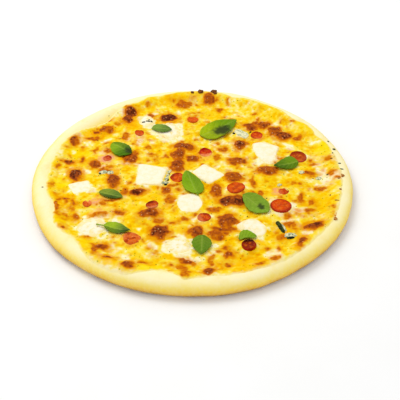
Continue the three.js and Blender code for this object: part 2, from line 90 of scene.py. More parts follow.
# flat browned patches between the blisters, in the same order of values
flatBrowned = [
    (-66, 106, 7, 8, 0, 0.9), (-54, 54, 5, 4, 0, 0.25), (-56, 34, 4, 4, 0, 0.5), (85, -59, 5, 4, 0, 0.4),
    (106, -80, 5, 3, 20, 0.4), (2, -120, 4, 4, 0, 0.45), (-80, -110, 4, 4, 30, 0.35),
    (65, 86, 4, 4, 0, 0.6), (20, -50, 6, 4, 0, 0.6), (-85, 7, 5, 4, 0, 0.62), (20, -76, 5, 4, 0, 0.6),
    (57, -123, 5, 2.5, 25, 0.5), (34, -78, 5, 4, 0, 0.6), (92, -99, 3.5, 5, -10, 0.6),
    (-19, -17, 4, 3, 0, 0.6), (-78, 85, 5, 4, 0, 0.3), (-29, -65, 6, 4, 0, 0.5), (27, -77, 6, 4, 0, 0.72),
    (63, -28, 4, 4, 0, 0.45), (-79, 13, 5, 4, 0, 0.3), (0, 100.5, 7, 4.5, 0, 0.22),
    (135, -11.4, 3, 2.5, 0, 0.5), (125.5, -52.2, 2.5, 2, 0, 0.5), (-44, 100, 3, 5, 20, 0.68),
    (-100, 58, 7, 3.5, 0, 0.55), (-98, 69, 4, 3.5, 0, 0.7), (-119, 20, 5, 3.5, 0, 0.82),
    (-69, 64, 4.5, 8, 0, 0.46), (-108, 23, 2.5, 5, 0, 0.64), (-30, 96, 5, 6, 0, 0.9),
    (-44, 42, 4, 4, 0, 0.4), (-36, 27, 4, 7, 0, 0.28), (28, 111, 4, 5, 30, 0.45),
    (38, 125, 2, 5, 0, 0.42), (65, 104, 3.5, 3, 0, 0.52), (31, 40, 5, 4.5, 0, 0.58),
    (106, 60, 6, 4, 45, 0.6), (24, 26, 5, 6, 0, 0.36), (131, 21, 4, 3, 0, 0.55),
    (116, 16, 4, 2.5, 0, 0.5), (112, 2, 6, 3, 0, 0.66), (131, -1, 4.5, 4, 0, 0.5),
    (142, -5, 3, 4.5, 0, 0.75), (57, -11, 3, 10, 0, 0.54), (95, -14, 3.5, 3, 0, 0.45),
    (99, -35, 3, 8, -8, 0.5), (108, -41, 3, 6, -25, 0.5), (104, -54, 5, 3.5, 0, 0.45),
    (118, -23, 6, 3, 20, 0.62), (127, -63, 2, 3.5, 0, 0.8), (85, -71, 6, 4, 0, 0.5),
    (93, -95, 3, 6, -10, 1.0), (76, -88, 5, 4, 0, 0.45), (73, -102, 2.5, 4, 0, 0.5),
    (70, -117, 4.5, 3, 30, 0.5), (31, -108, 4.5, 4, 0, 0.62), (29, -101, 3.5, 3, 0, 0.6),
    (30, -120, 3, 4, 0, 0.74), (16, -114, 3, 7, 0, 0.4), (-3, -116, 7, 3.5, -20, 0.78),
    (-16, -122, 3, 2, 0, 0.6), (-4, -136, 2, 1.5, 0, 0.7), (-68, -115, 5.5, 3, 0, 0.85),
    (-80, -105, 3, 6, 30, 0.6), (-40, -120, 4, 2, 0, 0.55), (-90, -89, 4, 2.5, 0, 0.45),
    (-111, -78, 2.5, 2, 0, 0.9), (-102, -62, 3, 6, 0, 0.55), (-65, -54, 5, 4.5, 0, 0.6),
    (-6, -64, 5, 3.5, 0, 0.5), (-16, -68, 4, 2.5, 0, 0.72), (-20, -37, 4.5, 6, 0, 0.5),
    (-24, -24, 5, 6, 30, 0.68), (-63, -24, 4, 6, 0, 0.5), (-80, -42, 4, 3, 0, 0.5),
    (-74, -37, 9, 2.5, 0, 0.6), (-120.5, -37.5, 3.5, 1.8, 50, 0.45), (-114, -36, 5, 2.4, -20, 0.66),
    (-107.5, -42, 3.5, 2, -40, 0.6), (-120.5, -48, 2, 8, 5, 0.6), (-112, -54, 9, 13, 0, 0.2),
    (0, 94.5, 7, 9, 0, 0.16), (-6, -130, 12, 4.5, -76, 0.34), (-131, -18, 3, 6, 0, 0.2),
    (-95, 39, 3, 6, 0, 0.42), (-85, 38, 4, 5, 0, 0.55), (-129, 12, 2, 4, 0, 0.48),
    (-48, 121, 3, 4, 0, 0.36), (4, -58, 3, 3, 0, 0.6), (-30, -106, 4, 5, 0, 0.22),
]

# charred bubbles that stand on the back of the rim: x, y, radius
charredBubbles = [(8, 138.8, 3.1), (22.5, 139.8, 3.3), (24, 136.4, 2), (-1, 137.6, 1.9)]

# smooth yellow stretches, without the pale web: x, y, half length, half width, turn, and how lemon the
# yellow is
goldStretches = [
    (44, -128, 19, 8, 19, 0.2), (-63, -106, 7, 5, 0, 0.5), (120, 62, 7, 7, 0, 0.6),
    (89, -103, 9, 7, 40, 0.1), (119, -61, 8, 7, 63, 0.4), (-12, -132, 9, 6, -5, 0.5),
    (-134, -24, 6, 8, 10, 0.6), (-80, 89, 6, 7, 0, 0.3), (126, 24, 6, 8, 0, 0.7), (42, 32, 5, 5, 0, 0.2),
    (-66, -118, 8, 6, -30, 0.1), (125, 36, 9, 8, 0, 1.0), (-23, -48, 6, 5, 0, 0.1),
    (-52, -49, 8, 7, 0, 0.4), (-8, -77, 6, 5, 0, 0.1), (-49, 23, 6, 5, 0, 0.2), (58, -94, 5, 4, 0, 0.2),
    (-73, 4, 5, 5, 0, 0.1), (90, -69, 5, 4, 0, 0.1), (-120, -14, 14, 13, 60, 1.0),
    (-116, -66, 12, 18, -15, 0.75), (120, 74, 10, 24, 40, 0.7), (132, 38, 8, 13, 0, 1.0),
    (117, -42, 14, 18, 0, 0.35), (48, -117, 24, 13, 10, 0.1), (-34, -126, 18, 7, 0, 0.9),
    (-8, 139, 20, 8, 0, 0.5), (-34, -36, 15, 9, 0, 0.35), (82, -86, 15, 13, 0, 0.1),
    (-100, 66, 14, 10, 45, 0.1), (-62, 85, 12, 16, 0, 0.0), (-20, 128, 22, 10, 0, 0.1),
    (20, 104, 16, 12, 0, 0.4), (70, -8, 14, 9, 0, 0.7), (-112, 34, 14, 12, 0, 0.8),
    (-88, -100, 12, 14, 40, 0.7),
]

# pale stretches, where the cheese stayed cream: x, y, half length, half width, turn, strength
creamStretches = [
    (133, -30, 6, 22, 8, 0.35), (108, -22, 9, 7, 0, 0.7), (122, 47, 6, 4, 0, 0.7),
    (-2, 128, 6, 4, 0, 0.4), (-75, 108, 5, 5, 0, 0.6), (97, 46, 14, 11, 0, 1.1), (-33, -98, 9, 7, 0, 1.2),
    (-82, 58, 9, 8, 0, 1.1), (-45, -76, 9, 7, 0, 1.1), (97, -52, 11, 9, 0, 1.0), (-118, 64, 7, 8, 0, 1.1),
    (-101, 5, 6, 6, 0, 0.8), (92, 91, 7, 8, 0, 0.8), (-93, -60, 7, 5, 0, 0.8), (113, 41, 6, 5, 0, 0.6),
    (67, -112, 8, 6, 0, 1.0), (-68, 116, 8, 6, 0, 0.8), (-117, 34, 5, 6, 0, 0.9), (-115, 9, 8, 7, 0, 0.8),
    (98, -84, 6, 5, 0, 0.7), (-70, -99, 6, 6, 0, 0.5), (8, -112, 6, 5, 0, 0.7), (20, -97, 6, 5, 0, 0.6),
    (-48, 92, 10, 14, 0, 0.5), (-8, 104, 14, 8, 0, 0.15), (116, -8, 18, 14, 0, 0.45),
    (92, -22, 16, 14, 0, 0.1), (-90, -56, 22, 12, 0, 0.1), (-40, -106, 26, 10, -8, 0.4),
    (90, -60, 26, 12, 0, 0.3), (66, -112, 12, 14, 50, 0.7), (-8, 62, 24, 8, 0, 0.5),
    (-78, 66, 8, 12, 0, 0.5), (60, 36, 10, 18, 0, 0.9), (118, 30, 16, 14, 0, 0.35),
    (-26, 66, 28, 16, 0, 0.4), (12, -104, 16, 12, 0, 0.1), (-110, 50, 14, 10, 0, 0.2),
    (-45, 50, 16, 9, 0, 0.45), (100, 100, 12, 12, 0, 0.0), (120, 8, 14, 12, 0, 0.6),
]


# cherry tomatoes, cut side up. Crescent and veil are a direction seen from above in degrees and a strength.
# The crescent is dark: roasted skin on most slices, and painted shadow on the fifth and tenth slices, where
# the hollow's inner wall shades the flesh, and on the last slice, under a leaf. The veil is pale and
# salmon.
# Dark is the colour of the crescent and of the streaks, ring is how dark the skin's edge stands out, wild
# how rumpled the flesh is, and the last two how strong its dark streaks and its pale specks are. The pale
# specks are painted highlights, and on the most rumpled slice the dark streaks are also painted shade in
# its folds.
tomatoColumns = (
    "x", "y", "radius", "rise", "flesh", "skin", "dark", "ring", "crescent", "veil", "wild", "streaks",
    "paintedGlints",
)
tomatoRows = [
    (80, -47.5, 9.5, 2.4, "ea5c06", "c23004", "9c1c02", 0.75, (-50, 0.85), (130, 0.0), 0.6, 0.35, 0.15),
    (40.5, -21.5, 8.5, 1.8, "e05a02", "d24a02", "8e1802", 0.1, (-70, 0.45), (-90, 0.0), 1, 0.4, 0.15),
    (65, 63.5, 6.2, 1.6, "e0540a", "c82c06", "8e1802", 0.45, (80, 0.5), (-80, 0.12), 1, 0.35, 0.15),
    (103, 26.5, 9, 2, "ca5a08", "a83004", "8e1802", 0.9, (90, 0.9), (-60, 0.05), 0.8, 0.45, 0.15),
    (13, 33.5, 6.9, 1.6, "d83c08", "bc1002", "a40a00", 0.3, (100, 1.0), (-75, 0.85), 1.2, 0.4, 0.3),
    (0, 92.5, 6.3, 1.3, "e24400", "dc6804", "8e1802", 0.0, (-90, 0.3), (90, 0.0), 0.8, 0.25, 0.15),
    (-54.3, 68, 5.2, 1.6, "dc4602", "dc5204", "8e1802", 0.2, (50, 0.5), (-90, 0.12), 1.2, 0.35, 0.12),
    (-82.8, 24.8, 4.4, 1.3, "b41e06", "dc6636", "9a1004", 0.0, (40, 0.6), (220, 0.25), 1.8, 0.6, 0.25),
    (-14, -6.8, 7, 1.8, "e05c06", "cc3404", "8e1802", 0.4, (125, 0.7), (-90, 0.0), 2, 0.5, 0.2),
    (-35.5, -46, 5.4, 1.6, "c8480a", "b42c06", "7a1406", 0.3, (125, 1.0), (-75, 0.6), 1.2, 0.5, 0.2),
    (-94.2, -43.6, 4.3, 1.2, "e2580c", "ea7424", "8e1802", 0.0, (-100, 0.3), (60, 0.4), 1.5, 0.35, 0.2),
    (-51, -89.8, 7.5, 1.8, "d85808", "e67e34", "b23c06", 0.0, (-90, 0.35), (110, 0.15), 3.8, 1.0, 0.6),
    (11, -62.8, 6, 1.8, "e25408", "bc3004", "8e1802", 0.4, (60, 0.6), (200, 0.35), 1.5, 0.45, 0.25),
    (84.2, -26.4, 4.6, 1.3, "ce3a04", "d04c0a", "8e1802", 0.1, (30, 0.5), (180, 0.3), 1.2, 0.45, 0.2),
    (48.5, -98.5, 6.6, 3, "9c3004", "7e1602", "3a0602", 0.8, (90, 1.3), (0, 0), 0.8, 0.35, 0.1),
]
tomatoSlices = [dict(zip(tomatoColumns, row)) for row in tomatoRows]

# lumps of white cheese: corners, how sharp they stayed, rise, and how much each has melted
whiteLumps = [
    ([(-52, 16), (-24, 9.5), (-28.5, -17.5), (-53, -16)], 16, 1.4, 0.05),
    ([(-2, 2.4), (11.2, 15.6), (31.5, -2), (15.8, -17)], 16, 1.4, 0.15),
    ([(59, 48.5), (68, 53), (87, 44), (78, 17.5), (69, 17.5), (60, 34)], 18, 1.4, 0.15),
    ([(-116.5, -15.5), (-96.5, -9), (-91.5, -23.5), (-108.5, -32)], 12, 1.2, 0.25),
    ([(-43, 80), (-26, 87), (-14, 83), (-11, 68), (-19, 56), (-33, 59)], 4, 1.1, 0.8),
    (
        [(-12.5, -32.5), (-3.6, -29), (7, -31), (11, -43.4), (4.5, -55.5), (-9.5, -55), (-14, -46)],
        14, 1.4, 0.15,
    ),
    ([(-102, -79), (-94, -65), (-78, -64), (-72, -80), (-84, -89)], 4, 1.2, 0.65),
    ([(37, -74), (44, -65), (57, -63), (66, -73), (65, -84), (57.5, -90)], 6, 1.5, 0.45),
    ([(-25, -95), (-10, -87), (3, -94), (0, -106), (-14, -109)], 4, 1, 1.0),
    ([(-57, 100), (-45, 102), (-39, 89), (-44, 81), (-57, 83)], 4, 1, 1.0),
    ([(41, 71), (47, 75), (56, 69), (57.5, 62), (54, 58), (45, 62)], 5, 1.6, 0.4),
]


# the part's own shapes, on arrays of millimetres


def smoothStep(t):
    share = np.clip(t, 0, 1)
    return share * share * (3 - 2 * share)


def roundedMax(a, b, width):
    overlap = np.maximum(0, width - np.abs(a - b)) / width
    return np.maximum(a, b) + overlap * overlap * width * 0.25


def polar(x, y):
    return np.hypot(x, y), np.arctan2(y, x)


# 0 at the middle of an ellipse and 1 on its edge
def reachIn(x, y, middleX, middleY, halfLength, halfWidth, turn):
    c, s = math.cos(math.radians(turn)), math.sin(math.radians(turn))
    along = ((x - middleX) * c + (y - middleY) * s) / halfLength
    across = ((y - middleY) * c - (x - middleX) * s) / halfWidth
    return np.hypot(along, across)


def domeOver(x, y, blister):
    inside = np.maximum(0, 1 - reachIn(x, y, *blister[:5]) ** 2)
    return inside * inside * (3 - 2 * inside)


# how much of a tongue or a bulge is left at an angle
def nearness(angle, at, spread):
    turn = np.degrees(angle) % 360
    away = np.minimum(np.abs(turn - at), 360 - np.abs(turn - at))
    return np.exp(-((away / spread) ** 2))


def rimSwell(angle):
    swell = sum(size * np.cos(waves * angle + start) for size, waves, start in swellWaves)
    return swell + sum(out * nearness(angle, at, spread) for at, out, _, spread in rimBulges)


def rimLift(angle):
    lift = sum(size * np.sin(waves * angle + start) for size, waves, start in liftWaves)
    return lift + sum(up * nearness(angle, at, spread) for at, _, up, spread in rimBulges)


def evenCrustTop(reach):
    crest, belly, base = pizza["crestRadius"], pizza["bellyHeight"], pizza["baseThickness"]
    climb = smoothStep((reach - pizza["slopeRadius"]) / (crest - pizza["slopeRadius"]))
    out = np.clip((reach - crest) / (pizza["radius"] - crest), 0, 1)
    inner = base + (pizza["rimHeight"] - base) * climb
    outer = belly + (pizza["rimHeight"] - belly) * np.sqrt(1 - out * out)
    return np.where(reach < crest, inner, outer)


# how much of the rim's unevenness a height gets
def liftShare(height):
    base = pizza["baseThickness"]
    return smoothStep((height - base) / (pizza["rimHeight"] - base))


def crustTop(x, y):
    reach, angle = polar(x, y)
    height = evenCrustTop(reach - rimSwell(angle) * (reach / pizza["radius"]) ** 4)
    return height + rimLift(angle) * liftShare(height)


def edgeRadius(angle):
    return pizza["cheeseReach"] + sum(by * nearness(angle, at, spread) for at, by, spread in edgeTongues)


def swells(x, y):
    broad = 0.4 * np.sin(0.083 * x + 1.3) * np.cos(0.071 * y - 0.6)
    return broad + 0.28 * np.sin(0.17 * x - 0.12 * y + 2.1) + 0.22 * np.sin(0.11 * x + 0.19 * y + 0.4)


def cheeseTop(x, y):
    near = np.hypot(x, y) / edgeRadius(np.arctan2(y, x))
    onRim = crustTop(x, y) + pizza["cheeseOnRim"] - 0.5 * smoothStep((near - 0.95) / 0.05)
    height = roundedMax(pizza["cheeseLevel"] + swells(x, y), onRim, 2)
    for blister in blisters:
        height = height + blisterRise * domeOver(x, y, blister)
    return height


# one height in mm, from a function that gives many
def heightOf(shape, x, y):
    return float(shape(np.array([float(x)]), np.array([float(y)]))[0])


def cheeseTopAt(x, y):
    return heightOf(cheeseTop, x, y)


# how far a lump's outline reaches from its middle
def softReach(corners, middle, sharp, angle):
    total = np.zeros_like(angle)
    for (x, y), (nextX, nextY) in zip(corners, corners[1:] + corners[:1]):
        side = math.hypot(nextX - x, nextY - y)
        normalX, normalY = (nextY - y) / side, (x - nextX) / side
        away = (x - middle[0]) * normalX + (y - middle[1]) * normalY
        facing = (np.cos(angle) * normalX + np.sin(angle) * normalY) / away
        total = total + np.maximum(0, facing) ** sharp
    return total ** (-1 / sharp)


# distances in mm from the edge of each tomato and each white lump, less than 0 inside it
def edgeDistances(x, y):
    distances = []
    for tomato in tomatoSlices:
        distances.append(np.hypot(x - tomato["x"], y - tomato["y"]) - tomato["radius"])
    for corners, sharp, *_ in whiteLumps:
        middle = np.mean(np.array(corners, dtype=float), axis=0)
        acrossX, acrossY = x - middle[0], y - middle[1]
        edge = softReach(corners, middle, sharp, np.arctan2(acrossY, acrossX))
        distances.append(np.hypot(acrossX, acrossY) - edge)
    return distances


# helpers for meshes


# soft noise of about -1 to 1 at rows of places, for bumps of a size in mm. Each use has a seed of its own.
def noiseAt(places, size, seed):
    shift = Vector((seed * 17.31, seed * 5.17, seed * 9.73))
    return np.array([noise.noise(Vector(place) / size + shift) for place in places])


# the same draws as the part's own source
def partRandom(seed):
    state = seed
    while True:
        state = (state * 1664525 + 1013904223) % 4294967296
        yield state / 4294967296


def placesOf(mesh):
    flat = np.empty(len(mesh.vertices) * 3)
    mesh.vertices.foreach_get("co", flat)
    return flat.reshape(-1, 3) / mm


def setPlaces(mesh, places):
    mesh.vertices.foreach_set("co", (places * mm).ravel())
    mesh.update()


def addField(mesh, name, values):
    field = mesh.attributes.new(name, "FLOAT", "POINT")
    field.data.foreach_set("value", np.asarray(values, dtype=np.float32))


def makePiece(bm, name):
    mesh = bpy.data.meshes.new(name)
    bm.to_mesh(mesh)
    bm.free()
    mesh.shade_smooth()
    piece = bpy.data.objects.new(name, mesh)
    bpy.context.collection.objects.link(piece)
    return piece


# turns a section, given as radius and height in mm from the axis out and back, into a closed shape
def spunShape(section, steps):
    bm = bmesh.new()
    corners = [bm.verts.new((radius * mm, 0, height * mm)) for radius, height in section]
    edges = [bm.edges.new(pair) for pair in zip(corners, corners[1:])]
    bmesh.ops.spin(
        bm, geom=corners + edges, axis=(0, 0, 1), cent=(0, 0, 0), angle=fullTurn,
        steps=steps, use_merge=True,
    )
    bmesh.ops.remove_doubles(bm, verts=bm.verts, dist=1e-7)
    bmesh.ops.recalc_face_normals(bm, faces=bm.faces)
    return bm


def addSmoothing(piece, levels):
    smoothing = piece.modifiers.new("smoothing", "SUBSURF")
    smoothing.levels = levels
    smoothing.render_levels = levels


def finishPiece(piece, material, slot, *nodes):
    piece.data.materials.clear()
    piece.data.materials.append(material)
    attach(piece, "root")
    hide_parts(*nodes)


# helpers for materials


def colour(hexText):
    channels = [int(hexText[i:i + 2], 16) / 255 for i in (0, 2, 4)]
    linear = [c / 12.92 if c <= 0.04045 else ((c + 0.055) / 1.055) ** 2.4 for c in channels]
    return (*linear, 1)


# links a socket, or sets its value
def feed(tree, socket, value):
    if isinstance(value, bpy.types.NodeSocket):
        tree.links.new(value, socket)
    else:
        socket.default_value = value


def addNode(tree, kind, inputs=None, **settings):
    node = tree.nodes.new(kind)
    for name, value in settings.items():
        setattr(node, name, value)
    for name, value in (inputs or {}).items():
        feed(tree, node.inputs[name], value)
    return node


def newMaterial(name):
    material = bpy.data.materials.new(name)
    material.use_nodes = True
    return material, material.node_tree


def compute(tree, operation, first, second=0.0, clamp=False):
    node = addNode(tree, "ShaderNodeMath", operation=operation, use_clamp=clamp)
    feed(tree, node.inputs[0], first)
    feed(tree, node.inputs[1], second)
    return node.outputs[0]


# 0 below one value and 1 above the other, or the other way round
def between(tree, value, low, high):
    inputs = {"Value": value, "From Min": low, "From Max": high}
    return addNode(tree, "ShaderNodeMapRange", inputs, interpolation_type="SMOOTHSTEP").outputs["Result"]


# a value moved by a share of another, and kept within 0 and 1
def nudged(tree, value, other, amount):
    return compute(tree, "ADD", value, compute(tree, "MULTIPLY", other, amount), clamp=True)


def mixColours(tree, share, first, second):
    node = addNode(tree, "ShaderNodeMix", data_type="RGBA")
    feed(tree, node.inputs[0], share)
    feed(tree, node.inputs[6], first)
    feed(tree, node.inputs[7], second)
    return node.outputs[2]


# a colour laid over another, as far as the share and its strength say
def tinted(tree, under, hexText, share, strength=1.0):
    return mixColours(tree, compute(tree, "MULTIPLY", share, strength), under, colour(hexText))


def rampColours(tree, value, stops):
    node = addNode(tree, "ShaderNodeValToRGB", {"Fac": value})
    elements = node.color_ramp.elements
    while len(elements) < len(stops):
        elements.new(0.5)
    for element, (position, hexText) in zip(elements, stops):
        element.position = position
        element.color = colour(hexText)
    return node.outputs["Color"]


def readField(tree, name):
    return addNode(tree, "ShaderNodeAttribute", attribute_name=name).outputs["Fac"]


def objectPlace(tree):
    return addNode(tree, "ShaderNodeTexCoord").outputs["Object"]


def noiseTexture(tree, place, size, detail=2.0):
    inputs = {"Vector": place, "Scale": 1 / (size * mm), "Detail": detail, "Roughness": 0.55}
    return addNode(tree, "ShaderNodeTexNoise", inputs).outputs["Fac"]


# gives a material its colour, and from its look the roughness, the shine and how deep its bumps are in mm
def finishMaterial(material, surface, look, height=None, roughness=None):
    tree = material.node_tree
    inputs = tree.nodes["Principled BSDF"].inputs
    feed(tree, inputs["Base Color"], surface)
    feed(tree, inputs["Roughness"], look["roughness"] if roughness is None else roughness)
    feed(tree, inputs["Specular IOR Level"], look["shine"])
    if height:
        bump = addNode(tree, "ShaderNodeBump", {"Height": height, "Distance": look["bump"] * mm})
        bump.inputs["Strength"].default_value = 1.0
        feed(tree, inputs["Normal"], bump.outputs["Normal"])
    return material


def newGroup(name, inputs, outputs):
    group = bpy.data.node_groups.new(name, "ShaderNodeTree")
    for label, value in inputs.items():
        socket = group.interface.new_socket(label, in_out="INPUT", socket_type="NodeSocketFloat")
        socket.default_value = value
    for label in outputs:
        group.interface.new_socket(label, in_out="OUTPUT", socket_type="NodeSocketFloat")
    return group, group.nodes.new("NodeGroupInput"), group.nodes.new("NodeGroupOutput")


# unevenness of two sizes at once, for bumps and for tints
def buildFoodGrain():
    group, given, result = newGroup("foodGrain", {"Size": 2.0}, ["Height", "Tint"])
    place = objectPlace(group)
    scale = compute(group, "DIVIDE", 1 / mm, given.outputs["Size"])
    coarse = addNode(group, "ShaderNodeTexNoise", {"Vector": place, "Scale": scale, "Detail": 3.0})
    fineScale = compute(group, "MULTIPLY", scale, 3.7)
    fine = addNode(group, "ShaderNodeTexNoise", {"Vector": place, "Scale": fineScale, "Detail": 1.0})
    finer = compute(group, "MULTIPLY", fine.outputs["Fac"], 0.35)
    both = compute(group, "ADD", coarse.outputs["Fac"], finer)
    group.links.new(both, result.inputs["Height"])
    group.links.new(between(group, coarse.outputs["Fac"], 0.3, 0.7), result.inputs["Tint"])
    return group


# scattered spots: Size is their spacing in mm and Share is how many of the places hold one
def buildScatteredSpots():
    group, given, result = newGroup("scatteredSpots", {"Size": 3.0, "Share": 0.3, "Reach": 0.3}, ["Mask"])
    place = objectPlace(group)
    wobble = addNode(group, "ShaderNodeTexNoise", {"Vector": place, "Scale": 400.0, "Detail": 1.0})
    shifted = addNode(group, "ShaderNodeVectorMath", operation="MULTIPLY_ADD")
    feed(group, shifted.inputs[0], wobble.outputs["Color"])
    shifted.inputs[1].default_value = (0.0012, 0.0012, 0.0012)
    feed(group, shifted.inputs[2], place)
    scale = compute(group, "DIVIDE", 1 / mm, given.outputs["Size"])
    cells = addNode(group, "ShaderNodeTexVoronoi", {"Vector": shifted.outputs[0], "Scale": scale})
    chance = addNode(group, "ShaderNodeSeparateColor", {"Color": cells.outputs["Color"]}).outputs[0]
    chosen = compute(group, "LESS_THAN", chance, given.outputs["Share"])
    depth = compute(group, "SUBTRACT", given.outputs["Reach"], cells.outputs["Distance"])
    soft = between(group, depth, 0.0, 0.12)
    group.links.new(compute(group, "MULTIPLY", chosen, soft), result.inputs["Mask"])
    return group


foodGrain = buildFoodGrain()
scatteredSpots = buildScatteredSpots()


def useGrain(tree, size):
    node = addNode(tree, "ShaderNodeGroup", {"Size": size}, node_tree=foodGrain)
    return node.outputs["Height"], node.outputs["Tint"]


def useSpots(tree, size, share, reach):
    inputs = {"Size": size, "Share": share, "Reach": reach}
    return addNode(tree, "ShaderNodeGroup", inputs, node_tree=scatteredSpots).outputs["Mask"]


# crust

crustLook = {
    "steps": 360,
    # radii of the rings in its flat underside, and of the one in the covered base
    "undersideRings": (0, 60, 110, 135),
    "baseRing": 70,
    "bumpSize": 13,
    "bumpHeight": 0.35,
    "pinchSize": 4.5,
    "pinchHeight": 0.1,
    # from the table up to the crest: pale at the crest and golden down the side, with painted shade
    # darkening the foot towards the table
    "sides": [
        (0.0, "64420e"), (0.1, "8e6418"), (0.25, "c2922a"), (0.42, "e8b83e"), (0.6, "fad650"),
        (0.78, "fee67c"), (0.92, "fff0aa"), (1.0, "fff3bc"),
    ],
    "wanderSize": 25,
    "warm": "fbdc78",
    "warmSize": 18,
    "flour": "fffaf0",
    "underside": "e2b872",
    "baked": "a8682c",
    "bakedSize": 9,
    "roughness": 0.6,
    "shine": 0.08,
    "grain": 2.5,
    "bump": 0.25,
}


def crustSection():
    undersideSteps, outsideSteps, insideSteps = 9, 14, 18
    section = [(radius, 0) for radius in crustLook["undersideRings"]]
    foot, wide, belly = pizza["footRadius"], pizza["radius"], pizza["bellyHeight"]
    for i in range(undersideSteps + 1):
        turn = i / undersideSteps * math.pi / 2
        section.append((foot + (wide - foot) * math.sin(turn), belly * (1 - math.cos(turn))))
    crest = pizza["crestRadius"]
    for i in range(1, outsideSteps + 1):
        turn = i / outsideSteps * math.pi / 2
        rise = (pizza["rimHeight"] - belly) * math.sin(turn)
        section.append((crest + (wide - crest) * math.cos(turn), belly + rise))
    for i in range(1, insideSteps + 1):
        reach = crest - (crest - pizza["slopeRadius"]) * i / insideSteps
        section.append((reach, float(evenCrustTop(np.array(reach)))))
    return section + [(crustLook["baseRing"], pizza["baseThickness"]), (0, pizza["baseThickness"])]


def crustMaterial():
    material, tree = newMaterial("bakedDough")
    place = objectPlace(tree)
    height = addNode(tree, "ShaderNodeSeparateXYZ", {"Vector": place}).outputs["Z"]
    share = compute(tree, "DIVIDE", height, pizza["rimHeight"] * mm)
    centred = compute(tree, "SUBTRACT", noiseTexture(tree, place, crustLook["wanderSize"]), 0.5)
    # colour by height: the dough's baked gold, with painted shade near the table
    sides = rampColours(tree, nudged(tree, share, centred, 0.25), crustLook["sides"])
    warmShare = between(tree, noiseTexture(tree, place, crustLook["warmSize"], 3.0), 0.5, 0.75)
    dough = tinted(tree, sides, crustLook["warm"], warmShare, 0.5)
    bakedShare = between(tree, noiseTexture(tree, place, crustLook["bakedSize"], 4.0), 0.5, 0.68)
    under = tinted(tree, colour(crustLook["underside"]), crustLook["baked"], bakedShare)
    allOver = mixColours(tree, readField(tree, "underside"), dough, under)
    grainHeight, grainTint = useGrain(tree, crustLook["grain"])
    floured = tinted(tree, allOver, crustLook["flour"], grainTint, 0.1)
    return finishMaterial(material, floured, crustLook, grainHeight)


def makeCrust():
    piece = makePiece(spunShape(crustSection(), crustLook["steps"]), "pizza_crust")
    places = placesOf(piece.data)
    reach, angle = polar(places[:, 0], places[:, 1])
    height = places[:, 2].copy()
    grown = reach + rimSwell(angle) * (reach / pizza["radius"]) ** 4
    bump = crustLook["bumpHeight"] * noiseAt(places, crustLook["bumpSize"], 1)
    bump = bump + crustLook["pinchHeight"] * noiseAt(places, crustLook["pinchSize"], 2)
    bare = smoothStep((reach - edgeRadius(angle) - 1) / 6)  # the base and the covered dough stay even
    exposed = bare * smoothStep(height / 3)
    outward = smoothStep((reach - pizza["crestRadius"]) / 10)
    grown = grown + bump * exposed * outward
    places[:, 0], places[:, 1] = grown * np.cos(angle), grown * np.sin(angle)
    places[:, 2] = height + rimLift(angle) * liftShare(height) + bump * exposed * (1 - outward)
    setPlaces(piece.data, places)
    addField(piece.data, "underside", 1 - smoothStep((height - 0.05) / 1.6))
    finishPiece(piece, crustMaterial(), "crust", "crust")


makeCrust()
print("crust done")


# melted cheese

cheeseLook = {
    "rings": 150,
    "rimInsets": (1, 1, 0.95, 0.88, 0.8, 0.55),
    "edgeWobble": 1.3,
    "edgeReach": 1.2,
    "edgeDip": 0.45,
    "featherReach": 3.6,
    "fadeReach": 3.4,
    "paleReach": 8.0,
    "stringSize": 3.0,
    "stringHeight": 0.22,
    "swellSize": 9.0,
    "swellHeight": 0.35,
    "bubbleSize": 2.6,
    "bubbleHeight": 0.4,
    "collarReach": 3.2,
    "collarShare": 0.62,
    "hollowDepth": 0.9,
    # how far noise of two sizes pushes the edges of browned patches about: size, distance
    "raggedness": [(8.0, 3.2), (2.8, 1.2)],
    # sizes of the noise that mottles the cheese, from broad to tiny
    "mottling": (22.0, 9.0, 4.2, 2.2),
    # from the deepest yellow to the palest cream
    "cheese": [
        (0.0, "eca000"), (0.2, "f6bc00"), (0.4, "facd08"), (0.56, "fbda34"), (0.72, "fbe262"),
        (0.86, "fbea90"), (1.0, "fdf6cc"),
    ],
    "goldDeep": "f8b602",
    "goldLemon": "fbe208",
    "atEdge": "fef0b6",
    "amber": "e68e04",
    "rosy": "f2a07c",
    "oil": "f0e23c",
    "oilSize": 6.0,
    "olive": "98920e",
    # from barely browned to burnt
    "browning": [
        (0.0, "e69c00"), (0.25, "dc8602"), (0.45, "cc6c08"), (0.62, "b4580e"), (0.8, "984616"),
        (0.92, "783414"), (1.0, "56220e"),
    ],
    # colour of the pale specks on the browned patches: painted highlights
    "fatAndGlint": "e2a66c",
    "crisp": "642810",
    "shine": 0.01,
    "grain": 2.6,
    "bump": 0.35,
}

# small browned spots, strewn at random inside a radius
spotScatter = {
    "seed": 11,
    "count": 340,
    "reach": 134,
    "halfLength": (1.2, 3.4),
    "narrowness": (0.5, 1),
    "dark": (0.08, 0.55),
}

# tomatoes redden the cheese round them: place, radius and how strongly
tomatoStains = [
    (-82.8, 24.8, 10, 1.6), (-88, -39.5, 8, 0.75), (-80, -36, 6, 0.35), (80, -26, 7.5, 0.7),
    (103, 26, 11, 0.2), (0.6, 92, 9, 0.2), (-51, -90, 11, 0.3), (10, -63, 9, 0.4), (13, 29, 9, 0.35),
    (-54, 62, 9, 0.5), (65, 60, 8, 0.25), (-82, -56, 12, 0.4), (40, -24, 11, 0.2), (-35, -50, 8, 0.35),
]


